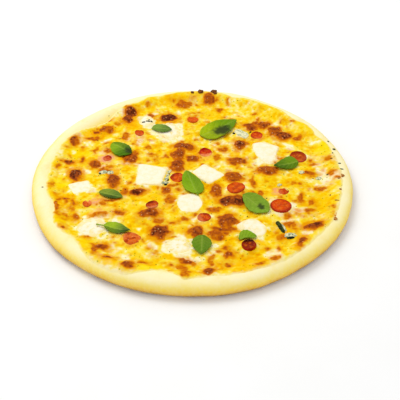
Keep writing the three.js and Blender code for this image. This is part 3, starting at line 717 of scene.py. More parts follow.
# a disc of triangles, grown from a hexagon, with a rim that turns under. Its height marks the layer.
def cheeseDisc():
    bm = bmesh.new()
    bmesh.ops.create_circle(bm, cap_ends=True, cap_tris=True, segments=6, radius=1)
    bmesh.ops.subdivide_edges(bm, edges=bm.edges[:], cuts=cheeseLook["rings"] - 1, use_grid_fill=True)
    rim = [edge for edge in bm.edges if edge.is_boundary]
    for inset in cheeseLook["rimInsets"]:
        made = bmesh.ops.extrude_edge_only(bm, edges=rim)["geom"]
        corners = [part for part in made if isinstance(part, bmesh.types.BMVert)]
        rim = [part for part in made if isinstance(part, bmesh.types.BMEdge) and part.is_boundary]
        bmesh.ops.translate(bm, verts=corners, vec=(0, 0, -1))
        rimReach = max(corner.co.to_2d().length for corner in corners)
        bmesh.ops.scale(bm, verts=corners, vec=(inset / rimReach, inset / rimReach, 1))
    bmesh.ops.edgeloop_fill(bm, edges=rim)
    bmesh.ops.recalc_face_normals(bm, faces=bm.faces)
    return bm


# share of the way out, and angle round the disc, of points in a hexagon of radius 1
def unrollHexagon(x, y):
    corner = math.pi / 3
    firstCorner = math.pi / 6
    sector = np.minimum(np.floor((np.arctan2(y, x) - firstCorner) % fullTurn / corner), 5)
    facing = firstCorner + (sector + 0.5) * corner
    share = (x * np.cos(facing) + y * np.sin(facing)) / math.cos(corner / 2)
    along = (y * np.cos(facing) - x * np.sin(facing)) / np.maximum(share, 1e-9) + 0.5
    return share, firstCorner + (sector + along) * corner


# 1 well inside the patches and 0 outside, with edges pushed about by noise, and the last value of the
# patch that covers most
def patchCover(x, y, patches, wobble, softness):
    cover, value = np.zeros_like(x), np.zeros_like(x)
    for patch in patches:
        inside = smoothStep((1 - reachIn(x, y, *patch[:5]) + wobble) / softness)
        value = np.where(inside > cover, patch[5], value)
        cover = np.maximum(cover, inside)
    return cover, value


# a random place inside a radius
def strewnPlace(random, radius):
    angle, reach = random.uniform(0, fullTurn), radius * math.sqrt(random.uniform())
    return reach * math.cos(angle), reach * math.sin(angle)


def scatterSpots():
    random = np.random.default_rng(spotScatter["seed"])
    spots = []
    for _ in range(spotScatter["count"]):
        x, y = strewnPlace(random, spotScatter["reach"])
        halfLength = random.uniform(*spotScatter["halfLength"])
        halfWidth = halfLength * random.uniform(*spotScatter["narrowness"])
        turn, dark = random.uniform(0, 180), random.uniform(*spotScatter["dark"])
        spots.append((x, y, halfLength, halfWidth, turn, dark))
    return spots


# pushes places about, so that the edges of patches run unevenly
def pushed(x, y, places):
    for i, (size, distance) in enumerate(cheeseLook["raggedness"]):
        x = x + distance * noiseAt(places, size, 23 + 2 * i)
        y = y + distance * noiseAt(places, size, 24 + 2 * i)
    return x, y


# how brown each place is, and how much amber fat stands round the browned places
def browningOf(x, y, places, pale):
    coarse, fine = noiseAt(places, 5.0, 21), noiseAt(places, 1.9, 22)
    warpedX, warpedY = pushed(x, y, places)
    browned, amber = np.zeros_like(x), np.zeros_like(x)
    placed = blisters + flatBrowned
    for index, patch in enumerate(placed + scatterSpots()):
        halfLength, halfWidth, dark = patch[2], patch[3], patch[5]
        near = np.hypot(x - patch[0], y - patch[1]) < 1.5 * max(halfLength, halfWidth) + 9
        size = math.sqrt(halfLength * halfWidth)
        inward = size * (1 - reachIn(warpedX[near], warpedY[near], *patch[:5]))  # mm in from the edge
        blotched = dark + 0.22 * coarse[near] + 0.2 * fine[near]
        if index >= len(placed):
            blotched = blotched * np.clip(1 - 0.8 * pale[near], 0, 1)
        browned[near] = np.maximum(browned[near], smoothStep((inward + 1.7) / 4.4) * blotched)
        halo = smoothStep((inward + 2.2 + 4.4 * dark) / 5) * (0.45 + 0.6 * dark + 0.5 * coarse[near])
        amber[near] = np.maximum(amber[near], halo)
    return np.clip(browned, 0, 1), np.clip(amber, 0, 1)


# how red the tomatoes have made the cheese
def rosyRound(x, y, middle, small, tiny):
    rosy = np.zeros_like(x)
    for middleX, middleY, radius, strength in tomatoStains:
        away = np.hypot(x - middleX, y - middleY) + 3 * middle + 2.5 * small
        uneven = strength * (0.8 + 0.9 * tiny)
        rosy = np.maximum(rosy, uneven * smoothStep((radius - away) / (0.7 * radius)))
    return np.clip(rosy, 0, 1)


# milk that runs from the white lumps into the cheese round them, all but the mouldy last one
def milkRound(x, y, middle, small):
    milk = np.zeros_like(x)
    for (*_, melted), away in zip(whiteLumps[:-1], edgeDistances(x, y)[len(tomatoSlices):]):
        spread = 1.6 + 3.2 * melted
        runs = spread * (1 + 1.1 * middle + 0.9 * small) - away
        milk = np.maximum(milk, (0.3 + 0.5 * melted) * smoothStep(runs / spread))
    return milk


# writes what the material reads at each place, and leaves the underside plain
def paintCheese(mesh, x, y, inward, under):
    places = np.column_stack([x, y, np.zeros_like(x)])
    broad, middle, small, tiny = (
        noiseAt(places, size, 31 + i) for i, size in enumerate(cheeseLook["mottling"])
    )
    ragged = 0.6 * broad + 0.6 * middle
    gold, lemon = patchCover(x, y, goldStretches, ragged, 0.5)
    pale, paleStrength = patchCover(x, y, creamStretches, ragged, 0.7)
    pale = pale * paleStrength
    gold = gold * np.clip(1 - 0.8 * pale, 0, 1)
    nearEdge = smoothStep(1 - (inward + 2.5 * middle + 1.2 * small) / cheeseLook["paleReach"])
    nearEdge = nearEdge * (1 - 0.8 * gold)
    fade = smoothStep(1.1 - (inward + 1.4 * small + 0.8 * tiny) / cheeseLook["fadeReach"])
    # pale cream: the cheese's own pale patches, and in the smallest flecks painted sheen of the wet cheese
    creamAndSheen = 0.57 + 0.28 * broad + 0.42 * middle + 0.38 * small + 0.18 * tiny + 0.6 * pale - 0.18 * gold
    creamAndSheen = creamAndSheen + 0.3 * nearEdge
    browned, amber = browningOf(x, y, places, pale)
    toastNoise = noiseAt(places, 7.0, 35) + 0.8 * noiseAt(places, 3.0, 36)
    amber = np.maximum(amber, 0.45 * smoothStep((toastNoise - 0.2 - 0.8 * pale) / 0.35))
    milk = milkRound(x, y, middle, small)
    amber = amber * (1 - 0.8 * milk) * (1 - 0.9 * nearEdge)
    browned = browned * (1 - 0.6 * fade)
    addField(mesh, "creamAndSheen", np.clip(creamAndSheen + 0.6 * milk, 0, 1))
    addField(mesh, "gold", np.maximum(gold, 0.7 * nearEdge) * (1 - under))
    addField(mesh, "lemon", np.maximum(lemon, nearEdge))
    addField(mesh, "fade", np.maximum(fade, under))
    addField(mesh, "browned", browned * (1 - under))
    addField(mesh, "amber", amber * (1 - under))
    addField(mesh, "rosy", rosyRound(x, y, middle, small, tiny) * (1 - under))


def cheeseMaterial():
    material, tree = newMaterial("meltedCheese")
    grainHeight, grainTint = useGrain(tree, cheeseLook["grain"])
    browned, creamAndSheen, lemon = (readField(tree, name) for name in ("browned", "creamAndSheen", "lemon"))
    unevenness = compute(tree, "SUBTRACT", grainTint, 0.5)
    # pale cheese colour, partly painted sheen
    cheese = rampColours(tree, nudged(tree, creamAndSheen, unevenness, 0.18), cheeseLook["cheese"])
    goldTone = tinted(tree, colour(cheeseLook["goldDeep"]), cheeseLook["goldLemon"], lemon)
    golden = mixColours(tree, compute(tree, "MULTIPLY", readField(tree, "gold"), 0.7), cheese, goldTone)
    fatAndGlint = tinted(tree, golden, cheeseLook["amber"], readField(tree, "amber"), 0.85)
    rosy = tinted(tree, fatAndGlint, cheeseLook["rosy"], readField(tree, "rosy"))
    oilShare = between(tree, noiseTexture(tree, objectPlace(tree), cheeseLook["oilSize"], 4.0), 0.5, 0.68)
    oily = tinted(tree, rosy, cheeseLook["oil"], oilShare, 0.4)
    flecked = tinted(tree, oily, cheeseLook["olive"], useSpots(tree, 3.6, 0.4, 0.24), 0.7)
    faded = tinted(tree, flecked, cheeseLook["atEdge"], readField(tree, "fade"))
    baked = rampColours(tree, nudged(tree, browned, unevenness, 0.25), cheeseLook["browning"])
    crisps = compute(tree, "MULTIPLY", useSpots(tree, 2.0, 0.35, 0.32), between(tree, browned, 0.3, 0.6))
    crisped = tinted(tree, baked, cheeseLook["crisp"], crisps, 0.4)
    # pale specks on the browned patches: painted highlights
    paintedGlints = compute(tree, "MULTIPLY", useSpots(tree, 2.6, 0.45, 0.32), between(tree, browned, 0.4, 0.7))
    withPaintedGlints = tinted(tree, crisped, cheeseLook["fatAndGlint"], paintedGlints, 0.65)
    top = mixColours(tree, between(tree, browned, 0.04, 0.36), faded, withPaintedGlints)
    return finishMaterial(material, top, cheeseLook, grainHeight, between(tree, browned, 1.6, -0.6))


# how far the cheese climbs round each topping, and how far it is hollow under it
def toppingBeds(x, y):
    collar, hollow = np.zeros_like(x), np.zeros_like(x)
    rises = [tomato["rise"] for tomato in tomatoSlices] + [lump[2] for lump in whiteLumps]
    for rise, away in zip(rises, edgeDistances(x, y)):
        near = smoothStep(1 - away / cheeseLook["collarReach"]) * smoothStep((away + 1.6) / 1.2)
        collar = np.maximum(collar, cheeseLook["collarShare"] * rise * near)
        hollow = np.maximum(hollow, smoothStep((-away - 1.5) / 2))
    return collar - cheeseLook["hollowDepth"] * hollow


# layer 0 is the top, layer 1 the edge, and the rest the underside, which hugs the dough
def makeCheese():
    piece = makePiece(cheeseDisc(), "melted_cheese_top")
    marks = placesOf(piece.data) * mm
    layer = np.round(-marks[:, 2])
    share, angle = unrollHexagon(marks[:, 0], marks[:, 1])
    # noise along the edge is read on a ring, so that it closes on itself
    ring = np.column_stack([60 * np.cos(angle), 60 * np.sin(angle), np.zeros_like(angle)])
    wobble = cheeseLook["edgeWobble"] * (noiseAt(ring, 4.5, 41) + 0.6 * noiseAt(ring, 1.8, 42))
    reach = share * (edgeRadius(angle) + cheeseLook["edgeReach"]) + wobble * share ** 12
    inward = (1 - share) * edgeRadius(angle)
    x, y = reach * np.cos(angle), reach * np.sin(angle)
    flat = np.column_stack([x, y, np.zeros_like(x)])
    top = cheeseTop(x, y)
    blistered = np.zeros_like(x)
    for blister in blisters:
        blistered = np.maximum(blistered, smoothStep((1.1 - reachIn(x, y, *blister[:5])) / 0.5))
    inner = smoothStep((1 - share) / 0.03)
    top = top + inner * cheeseLook["swellHeight"] * noiseAt(flat, cheeseLook["swellSize"], 43)
    top = top + inner * cheeseLook["stringHeight"] * noiseAt(flat, cheeseLook["stringSize"], 44)
    top = top + blistered * cheeseLook["bubbleHeight"] * noiseAt(flat, cheeseLook["bubbleSize"], 45)
    top = top + inner * toppingBeds(x, y)
    dough = crustTop(x, y)
    dipped = dough - cheeseLook["edgeDip"]
    top = dipped + (top - dipped) * smoothStep(inward / cheeseLook["featherReach"])
    bottom = np.minimum(dough + 0.15, top - 0.15)
    height = np.where(layer == 0, top, np.where(layer == 1, (top + bottom) / 2, bottom))
    setPlaces(piece.data, np.column_stack([x, y, height]))
    paintCheese(piece.data, x, y, inward, smoothStep(layer - 1))
    finishPiece(piece, cheeseMaterial(), "melted_cheese", "melted_cheese")
    return piece


cheesePiece = makeCheese()
print("melted cheese done")

cheeseSurface = bmesh.new()
cheeseSurface.from_mesh(cheesePiece.data)
cheeseFinder = BVHTree.FromBMesh(cheeseSurface)
cheeseSurface.free()


# height of the finished cheese in mm, or nothing beyond its edge
def cheeseUnder(x, y):
    hit = cheeseFinder.ray_cast(Vector((x * mm, y * mm, 0.1)), Vector((0, 0, -1)))[0]
    return hit.z / mm if hit else None


def surfaceAt(x, y):
    cheese = cheeseUnder(x, y)
    return cheeseTopAt(x, y) if cheese is None else cheese


# height of the cheese, or of the bare dough beyond it
def edgeHeight(x, y):
    cheese, dough = cheeseUnder(x, y), heightOf(crustTop, x, y)
    return dough if cheese is None else max(cheese, dough)


# cherry tomatoes

tomatoLook = {
    "sunk": 1.6,
    "tilt": 5,
    "steps": 28,
    "veil": "f0985c",
    "skinEdge": "a82604",
    "core": "f07c0c",
    "seed": "f09c18",
    "streakSize": 4.0,
    "roughness": 0.3,
    "shine": 0.04,
    "grain": 1.8,
    "bump": 0.35,
}


# section of a slice from the axis of its underside to the middle of its top: share of the radius, height
def sliceSection(rise):
    sunk = tomatoLook["sunk"]
    below = [(0, -sunk), (0.6, -sunk), (0.92, -sunk), (0.99, -0.2)]
    rim = [(1, rise * 0.5), (0.98, rise * 0.85), (0.93, rise), (0.87, rise - 0.05), (0.8, rise - 0.4)]
    return below + rim + [(0.5, rise - 0.75), (0.22, rise - 0.65), (0, rise - 0.5)]


def tomatoMaterial(name, tomato):
    material, tree = newMaterial(name)
    grainHeight, grainTint = useGrain(tree, tomatoLook["grain"])
    outer = readField(tree, "outer")
    flesh = tinted(tree, colour(tomato["flesh"]), tomato["skin"], grainTint, 0.75)
    body = tinted(tree, flesh, tomato["skin"], between(tree, outer, 0.8, 0.93))
    body = tinted(tree, body, tomatoLook["core"], readField(tree, "chambers"), 0.4)
    seeds = compute(tree, "MULTIPLY", useSpots(tree, 2.1, 0.5, 0.3), between(tree, outer, 0.78, 0.6))
    body = tinted(tree, body, tomatoLook["seed"], seeds, 0.4)
    body = tinted(tree, body, tomatoLook["skinEdge"], between(tree, outer, 0.82, 0.95), tomato["ring"])
    streakNoise = noiseTexture(tree, objectPlace(tree), tomatoLook["streakSize"], 1.5)
    # dark streaks: mottling, and on the most rumpled slice also painted shade in its folds
    body = tinted(tree, body, tomato["dark"], between(tree, streakNoise, 0.48, 0.6), tomato["streaks"])
    # the dark crescent: roasted skin, and on three slices painted shadow
    body = tinted(tree, body, tomato["dark"], readField(tree, "crescent"))
    # pale specks: painted highlights
    body = tinted(tree, body, tomatoLook["veil"], useSpots(tree, 2.4, 0.4, 0.32), tomato["paintedGlints"])
    body = tinted(tree, body, tomatoLook["veil"], readField(tree, "veil"))
    return finishMaterial(material, body, tomatoLook, grainHeight)


# strong on the side that a direction in degrees points to
def strewnTowards(angle, outer, direction, strength, start):
    facing = np.cos(angle - math.radians(direction))
    return strength * smoothStep((outer * facing - start) / 0.45)


def makeTomato(index, tomato, draws):
    number = f"{index + 1:02d}"
    lopsided, phase = 0.04 + 0.04 * next(draws), next(draws) * fullTurn
    tilts = [math.radians((next(draws) - 0.5) * 2 * tomatoLook["tilt"]) for _ in range(2)]
    piece = makePiece(spunShape(sliceSection(tomato["rise"]), tomatoLook["steps"]), "tomato_" + number)
    places = placesOf(piece.data)
    outer, angle = polar(places[:, 0], places[:, 1])
    reach = outer * tomato["radius"] * (1 + lopsided * np.cos(2 * angle + phase))
    x, y, z = reach * np.cos(angle), reach * np.sin(angle), places[:, 2]
    local = np.column_stack([x, y, z]) + np.array([tomato["x"], tomato["y"], 0])
    above = smoothStep(z / 0.8)
    wild = tomato["wild"]
    reach = reach + (0.35 + 0.3 * wild) * noiseAt(local, 4.0, 51) * smoothStep((z + 1) / 1.2)
    z = z + above * wild * (0.35 * noiseAt(local, 3.0, 52) + 0.25 * noiseAt(local, 1.6, 53))
    lobes = np.cos(3 * angle + phase) * smoothStep(outer / 0.35)
    chambers = smoothStep((lobes - 0.1) / 0.5) * (outer < 0.78)
    z = z - above * 0.3 * chambers
    places = np.column_stack([reach * np.cos(angle), reach * np.sin(angle), z])
    turned = Matrix.Rotation(tilts[1], 3, "Y") @ Matrix.Rotation(tilts[0], 3, "X")
    middle = np.array([tomato["x"], tomato["y"], cheeseTopAt(tomato["x"], tomato["y"])])
    setPlaces(piece.data, places @ np.array(turned).T + middle)
    addField(piece.data, "outer", outer)
    addField(piece.data, "chambers", chambers)
    addField(piece.data, "crescent", strewnTowards(angle, outer, *tomato["crescent"], 0.35))
    veil = strewnTowards(angle, outer, *tomato["veil"], 0.1) * (1.1 + 0.8 * noiseAt(local, 3.0, 54))
    addField(piece.data, "veil", np.clip(veil, 0, 1))
    addSmoothing(piece, 2)
    finishPiece(piece, tomatoMaterial("roastedTomato" + number, tomato), "tomato", "tomato_slice_" + number)


draws = partRandom(7)
for index, tomato in enumerate(tomatoSlices):
    makeTomato(index, tomato, draws)
print("cherry tomatoes done")


# white cheese

whiteLook = {
    "sunk": 1.4,
    "steps": 40,
    "white": "fff6dc",
    "shade": "fff1ca",
    "edge": "fae8a2",
    "edgeSize": 4.5,
    "whey": "f6e08c",
    "wheySize": 4,
    "roughness": 0.5,
    "shine": 0.08,
    "grain": 4.0,
    "bump": 0.3,
}

# the last lump
mouldLook = {
    "pale": "efeabc",
    "blue": "aab488",
    "dark": "6c7438",
    "veinSize": 3.2,
    "veins": (0.47, 0.66),
    "spots": (2.4, 0.45, 0.28),
    "spotStrength": 0.85,
    "roughness": 0.5,
    "shine": 0.08,
    "grain": 2.0,
    "bump": 0.5,
}


def whiteMaterial():
    material, tree = newMaterial("softWhiteCheese")
    grainHeight, grainTint = useGrain(tree, whiteLook["grain"])
    place, melted, outer = objectPlace(tree), readField(tree, "melted"), readField(tree, "outer")
    base = tinted(tree, colour(whiteLook["white"]), whiteLook["shade"], grainTint)
    edgeStart = compute(tree, "SUBTRACT", 0.88, compute(tree, "MULTIPLY", melted, 0.4))
    raggedness = compute(tree, "ADD", compute(tree, "MULTIPLY", melted, 1.3), 0.35)
    centred = compute(tree, "SUBTRACT", noiseTexture(tree, place, whiteLook["edgeSize"], 4.0), 0.5)
    ragged = compute(tree, "MULTIPLY", centred, raggedness)
    edgeShare = between(tree, compute(tree, "ADD", outer, ragged), edgeStart, 1.04)
    edged = tinted(tree, base, whiteLook["edge"], edgeShare)
    wheyShare = between(tree, noiseTexture(tree, place, whiteLook["wheySize"], 3.0), 0.5, 0.66)
    wheyed = tinted(tree, edged, whiteLook["whey"], wheyShare, melted)
    return finishMaterial(material, wheyed, whiteLook, grainHeight)


# cheese with blue-green veins and dark spots
def veinedMaterial(name, look):
    material, tree = newMaterial(name)
    grainHeight = useGrain(tree, look["grain"])[0]
    veins = between(tree, noiseTexture(tree, objectPlace(tree), look["veinSize"], 3.0), *look["veins"])
    veined = tinted(tree, colour(look["pale"]), look["blue"], veins)
    spotted = tinted(tree, veined, look["dark"], useSpots(tree, *look["spots"]), look["spotStrength"])
    return finishMaterial(material, spotted, look, grainHeight)


def makeWhiteLump(index, lump, draws, material):
    corners, sharp, rise, melted = lump
    number = f"{index + 1:02d}"
    sunk = whiteLook["sunk"]
    section = [(0, -sunk), (0.6, -sunk), (0.97, -sunk), (1.03, -0.4)]
    for share in (1.02, 0.985, 0.95, 0.9, 0.83, 0.7, 0.5, 0.25, 0):
        crisp = 1.04 * (1 - (share / 1.04) ** 14)
        soft = 1.04 * (1 - (share / 1.04) ** 3)
        section.append((share, rise * (crisp + (soft - crisp) * melted)))
    phase = next(draws) * fullTurn
    piece = makePiece(spunShape(section, whiteLook["steps"]), "white_cheese_lump_" + number)
    places = placesOf(piece.data)
    outer, angle = polar(places[:, 0], places[:, 1])
    middle = np.mean(np.array(corners, dtype=float), axis=0)
    reach = outer * softReach(corners, middle, sharp, angle)
    x, y = middle[0] + reach * np.cos(angle), middle[1] + reach * np.sin(angle)
    local = np.column_stack([x, y, places[:, 2]])
    above = smoothStep(places[:, 2] / rise)
    push = (0.7 + 1.4 * melted) * noiseAt(local, 6.0, 61) + (0.3 + 0.5 * melted) * noiseAt(local, 2.5, 64)
    x, y = x + push * np.cos(angle) * outer ** 3, y + push * np.sin(angle) * outer ** 3
    dimples = 0.35 * noiseAt(local, 6.0, 62) + 0.16 * noiseAt(local, 2.4, 63)
    z = places[:, 2] + above * (0.25 * np.sin(2 * angle + phase) * outer + dimples)
    bed = cheeseTopAt(*middle)
    setPlaces(piece.data, np.column_stack([x, y, z + bed]))
    addField(piece.data, "outer", outer)
    addField(piece.data, "melted", np.full_like(outer, melted))
    addSmoothing(piece, 2)
    finishPiece(piece, material, "white_cheese", "white_cheese_" + number)


mouldy = veinedMaterial("mouldRipenedCheese", mouldLook)
lumpMaterials = [whiteMaterial()] * (len(whiteLumps) - 1) + [mouldy]
for index, (lump, material) in enumerate(zip(whiteLumps, lumpMaterials)):
    makeWhiteLump(index, lump, draws, material)
print("white cheese done")


# basil

# stalk end, tip, greatest half width on each side with the share of the length where it lies, how blunt the
# outline is, bare stalk, colours at the stalk and at the tip, which side lies in shade and how much, and
# a dark patch: along, across, reach, strength. The dark patch is wilting, and on the first and third leaves
# also painted shade where the blade folds.
basilLeaves = [
    {
        "base": (-60, 29), "tip": (-80.5, 49), "left": (10, 0.45), "right": (9, 0.55),
        "blunt": 0.6, "stalk": 0, "tones": ("4c7606", "8cb010"), "shade": (-1, 0.5),
        "bruiseAndFoldShade": (0.1, -0.3, 0.34, 0.85),
    },
    {
        "base": (-42.5, 75.3), "tip": (-21.4, 71.6), "left": (7.8, 0.33), "right": (6, 0.55),
        "blunt": 0.7, "stalk": 0, "tones": ("86a438", "6c8634"), "shade": (-1, 0.3),
        "bruiseAndFoldShade": (0.98, 0, 0.14, 0.7),
    },
    {
        "base": (8, 62), "tip": (45.3, 91), "left": (11, 0.42), "right": (15.5, 0.32),
        "blunt": 0.72, "stalk": 0, "tones": ("aabe04", "749c0a"), "shade": (-1, 0.25),
        "bruiseAndFoldShade": (0.5, -0.45, 0.3, 0.9),
    },
    {
        "base": (102, 17), "tip": (78, 9.3), "left": (7, 0.42), "right": (10, 0.27),
        "blunt": 0.7, "stalk": 0, "tones": ("709410", "54780a"), "shade": (1, 0.4),
        "bruiseAndFoldShade": (0.96, 0, 0.2, 0.7),
    },
    {
        "base": (5.5, -33), "tip": (-5.5, 3.5), "left": (9.4, 0.42), "right": (8.8, 0.3),
        "blunt": 0.8, "stalk": 2, "tones": ("8cb014", "82ac10"), "shade": (-1, 0.3),
        "bruiseAndFoldShade": (0.0, 0, 0.06, 0.4),
    },
    {
        "base": (-85.3, -27.5), "tip": (-63, -35), "left": (7.5, 0.4), "right": (4.5, 0.5),
        "blunt": 0.7, "stalk": 0, "tones": ("8a9c30", "64802c"), "shade": (-1, 0.6),
        "bruiseAndFoldShade": (0.5, -0.9, 0.32, 0.5),
    },
    {
        "base": (-82.4, -74), "tip": (-52, -81.5), "left": (8.5, 0.3), "right": (5.5, 0.45),
        "blunt": 0.8, "stalk": 7, "tones": ("a4c020", "66802c"), "shade": (-1, 0.65),
        "bruiseAndFoldShade": (0.92, -0.2, 0.3, 0.75),
    },
    {
        "base": (9.1, -87), "tip": (8.6, -108.5), "left": (8.4, 0.43), "right": (8.4, 0.43),
        "blunt": 0.75, "stalk": 0, "tones": ("749420", "688c18"), "shade": (1, 0.2),
        "bruiseAndFoldShade": (0.95, 0, 0.1, 0.5),
    },
    {
        "base": (46.5, -33), "tip": (68, -56), "left": (11, 0.38), "right": (11, 0.58),
        "blunt": 0.6, "stalk": 0, "tones": ("84a428", "84a82c"), "shade": (1, 0.1),
        "bruiseAndFoldShade": (0.7, 0.05, 0.17, 0.85),
    },
    {
        "base": (40.5, -90.5), "tip": (55.5, -88), "left": (8.5, 0.38), "right": (3, 0.5),
        "blunt": 0.7, "stalk": 0, "tones": ("8cac24", "88b01c"), "shade": (-1, 0.3),
        "bruiseAndFoldShade": (1.0, 0, 0.1, 0.4),
    },
]

basilLook = {
    "stations": 44,
    "strips": 24,
    "smoothing": 14,
    "thickness": 0.45,
    "ribDepth": 0.28,
    "pucker": 0.42,
    "sideRibs": 5.5,
    "shadeColour": "3c5a10",
    # colour of the dark patch: wilting, and on two leaves painted shade
    "wilted": "262c14",
    "rib": "a8b850",
    "roughness": 0.45,
    "shine": 0.04,
    "grain": 1.6,
    "bump": 0.15,
}


# half the leaf's width in mm, where u and v run along and across the leaf, and blade leaves out the stalk
def leafHalfWidth(u, v, blade, leaf):
    stalkWidth = 0.6 if leaf["stalk"] else 0.15
    widths = []
    for width, peak in (leaf["left"], leaf["right"]):
        lean = math.log(0.5) / math.log(peak)
        bulge = np.sin(math.pi * blade ** lean)
        widths.append(width * np.maximum(0, bulge) ** leaf["blunt"])
    return np.maximum(stalkWidth * (u < 0.97), np.where(v > 0, widths[0], widths[1]))


def basilMaterial(name, leaf):
    material, tree = newMaterial(name)
    u, v = readField(tree, "along"), readField(tree, "across")
    grainHeight, grainTint = useGrain(tree, basilLook["grain"])
    atStalk, atTip = leaf["tones"]
    side, amount = leaf["shade"]
    shaded = between(tree, compute(tree, "MULTIPLY", v, float(side)), -0.05, 0.35)
    blade = tinted(tree, colour(atStalk), atTip, between(tree, u, 0.25, 0.75))
    blade = tinted(tree, blade, basilLook["shadeColour"], shaded, amount)
    blade = tinted(tree, blade, basilLook["shadeColour"], grainTint, 0.22)
    blade = tinted(tree, blade, basilLook["rib"], readField(tree, "ribs"), 0.4)
    blade = tinted(tree, blade, basilLook["wilted"], readField(tree, "bruiseAndFoldShade"))
    return finishMaterial(material, blade, basilLook, grainHeight)


# a finder on the CAD leaf, whose top the finished leaf follows
def leafFinder(node):
    bm = bmesh.new()
    bm.from_mesh(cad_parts[node].data)
    bmesh.ops.remove_doubles(bm, verts=bm.verts, dist=1e-6)
    finder = BVHTree.FromBMesh(bm)
    bm.free()
    return finder


# height of the CAD leaf's top, in mm, drawn in towards the midrib where the leaf is narrower
def leafHeight(finder, point, inward):
    for step in range(30):
        spot = point.lerp(inward, step / 30)
        hit = finder.ray_cast(Vector((spot.x * mm, spot.y * mm, 0.1)), Vector((0, 0, -1)))[0]
        if hit:
            return hit.z / mm
    return cheeseTopAt(point.x, point.y) + 1


# takes the facets out of heights on a grid
def relax(heights, rounds):
    for _ in range(rounds):
        padded = np.pad(heights, 1, mode="edge")
        around = padded[:-2, 1:-1] + padded[2:, 1:-1] + padded[1:-1, :-2] + padded[1:-1, 2:]
        heights = 0.5 * heights + 0.125 * around
    return heights


# heights in mm of the CAD leaf's top at the places of a grid, with its facets taken out. Order sorts the
# places along and across the leaf.
def leafHeights(node, places, midribs, order):
    finder = leafFinder(node)
    heights = np.array([
        leafHeight(finder, Vector(place), Vector(midrib)) for place, midrib in zip(places, midribs)
    ])
    grid = heights[order].reshape(basilLook["stations"] + 1, basilLook["strips"] + 1)
    heights[order] = relax(grid, basilLook["smoothing"]).ravel()
    return heights


# ribs that run from the midrib forwards to the edge, and the puckers between them
def leafRelief(v, blade, half):
    wave = np.cos(fullTurn * basilLook["sideRibs"] * (blade - 0.28 * np.abs(v)))
    sideRibs = smoothStep((wave - 0.86) / 0.14) * (1 - 0.6 * np.abs(v)) * (half > 1.5)
    midrib = np.exp(-((v * half / 0.55) ** 2))
    puffed = (0.5 - 0.5 * wave) * np.sin(math.pi * np.clip(np.abs(v), 0, 1)) * smoothStep(half / 4)
    return np.maximum(midrib, 0.55 * sideRibs), puffed - 0.5 * smoothStep(half / 4)


def makeLeaf(index, leaf):
    number = f"{index + 1:02d}"
    base, tip = Vector(leaf["base"]), Vector(leaf["tip"])
    length = (tip - base).length
    along = (tip - base) / length
    across = Vector((-along.y, along.x))
    bm = bmesh.new()
    bmesh.ops.create_grid(bm, x_segments=basilLook["stations"], y_segments=basilLook["strips"], size=0.5)
    piece = makePiece(bm, "basil_" + number)
    marks = placesOf(piece.data) * mm
    u, v = marks[:, 0] + 0.5, marks[:, 1] * 2
    bladeStart = leaf["stalk"] / length
    bladeU = np.clip((u - bladeStart) / (1 - bladeStart), 0, 1)
    half = leafHalfWidth(u, v, bladeU, leaf)
    ragged = 1 + 0.025 * np.sin(31 * u + index) * np.abs(v) ** 3
    x = base.x + along.x * u * length + across.x * v * half * ragged
    y = base.y + along.y * u * length + across.y * v * half * ragged
    midribX, midribY = base.x + along.x * u * length, base.y + along.y * u * length
    order = np.lexsort((np.round(v, 4), np.round(u, 4)))
    z = leafHeights("basil_leaf_" + number, zip(x, y), zip(midribX, midribY), order)
    ribs, puckers = leafRelief(v, bladeU, half)
    z = z + basilLook["pucker"] * puckers - basilLook["ribDepth"] * ribs
    setPlaces(piece.data, np.column_stack([x, y, z]))
    # the dark patch: wilting, and on the first and third leaves also painted shade of a fold
    bruiseU, bruiseV, bruiseReach, strength = leaf["bruiseAndFoldShade"]
    away = np.hypot(bladeU - bruiseU, 0.35 * (v - bruiseV))
    away = away + 0.06 * noiseAt(np.column_stack([x, y, z]), 3.0, 71)
    addField(piece.data, "along", bladeU)
    addField(piece.data, "across", v)
    addField(piece.data, "ribs", ribs)
    addField(piece.data, "bruiseAndFoldShade", strength * smoothStep((bruiseReach - away) / (0.6 * bruiseReach)))
    wall = piece.modifiers.new("blade", "SOLIDIFY")
    wall.thickness = basilLook["thickness"] * mm
    wall.offset = -1
    finishPiece(piece, basilMaterial("basil" + number, leaf), "basil", "basil_leaf_" + number)


for index, leaf in enumerate(basilLeaves):
    makeLeaf(index, leaf)
print("basil done")


# crumbs of blue cheese, wilted herb and charred bubbles

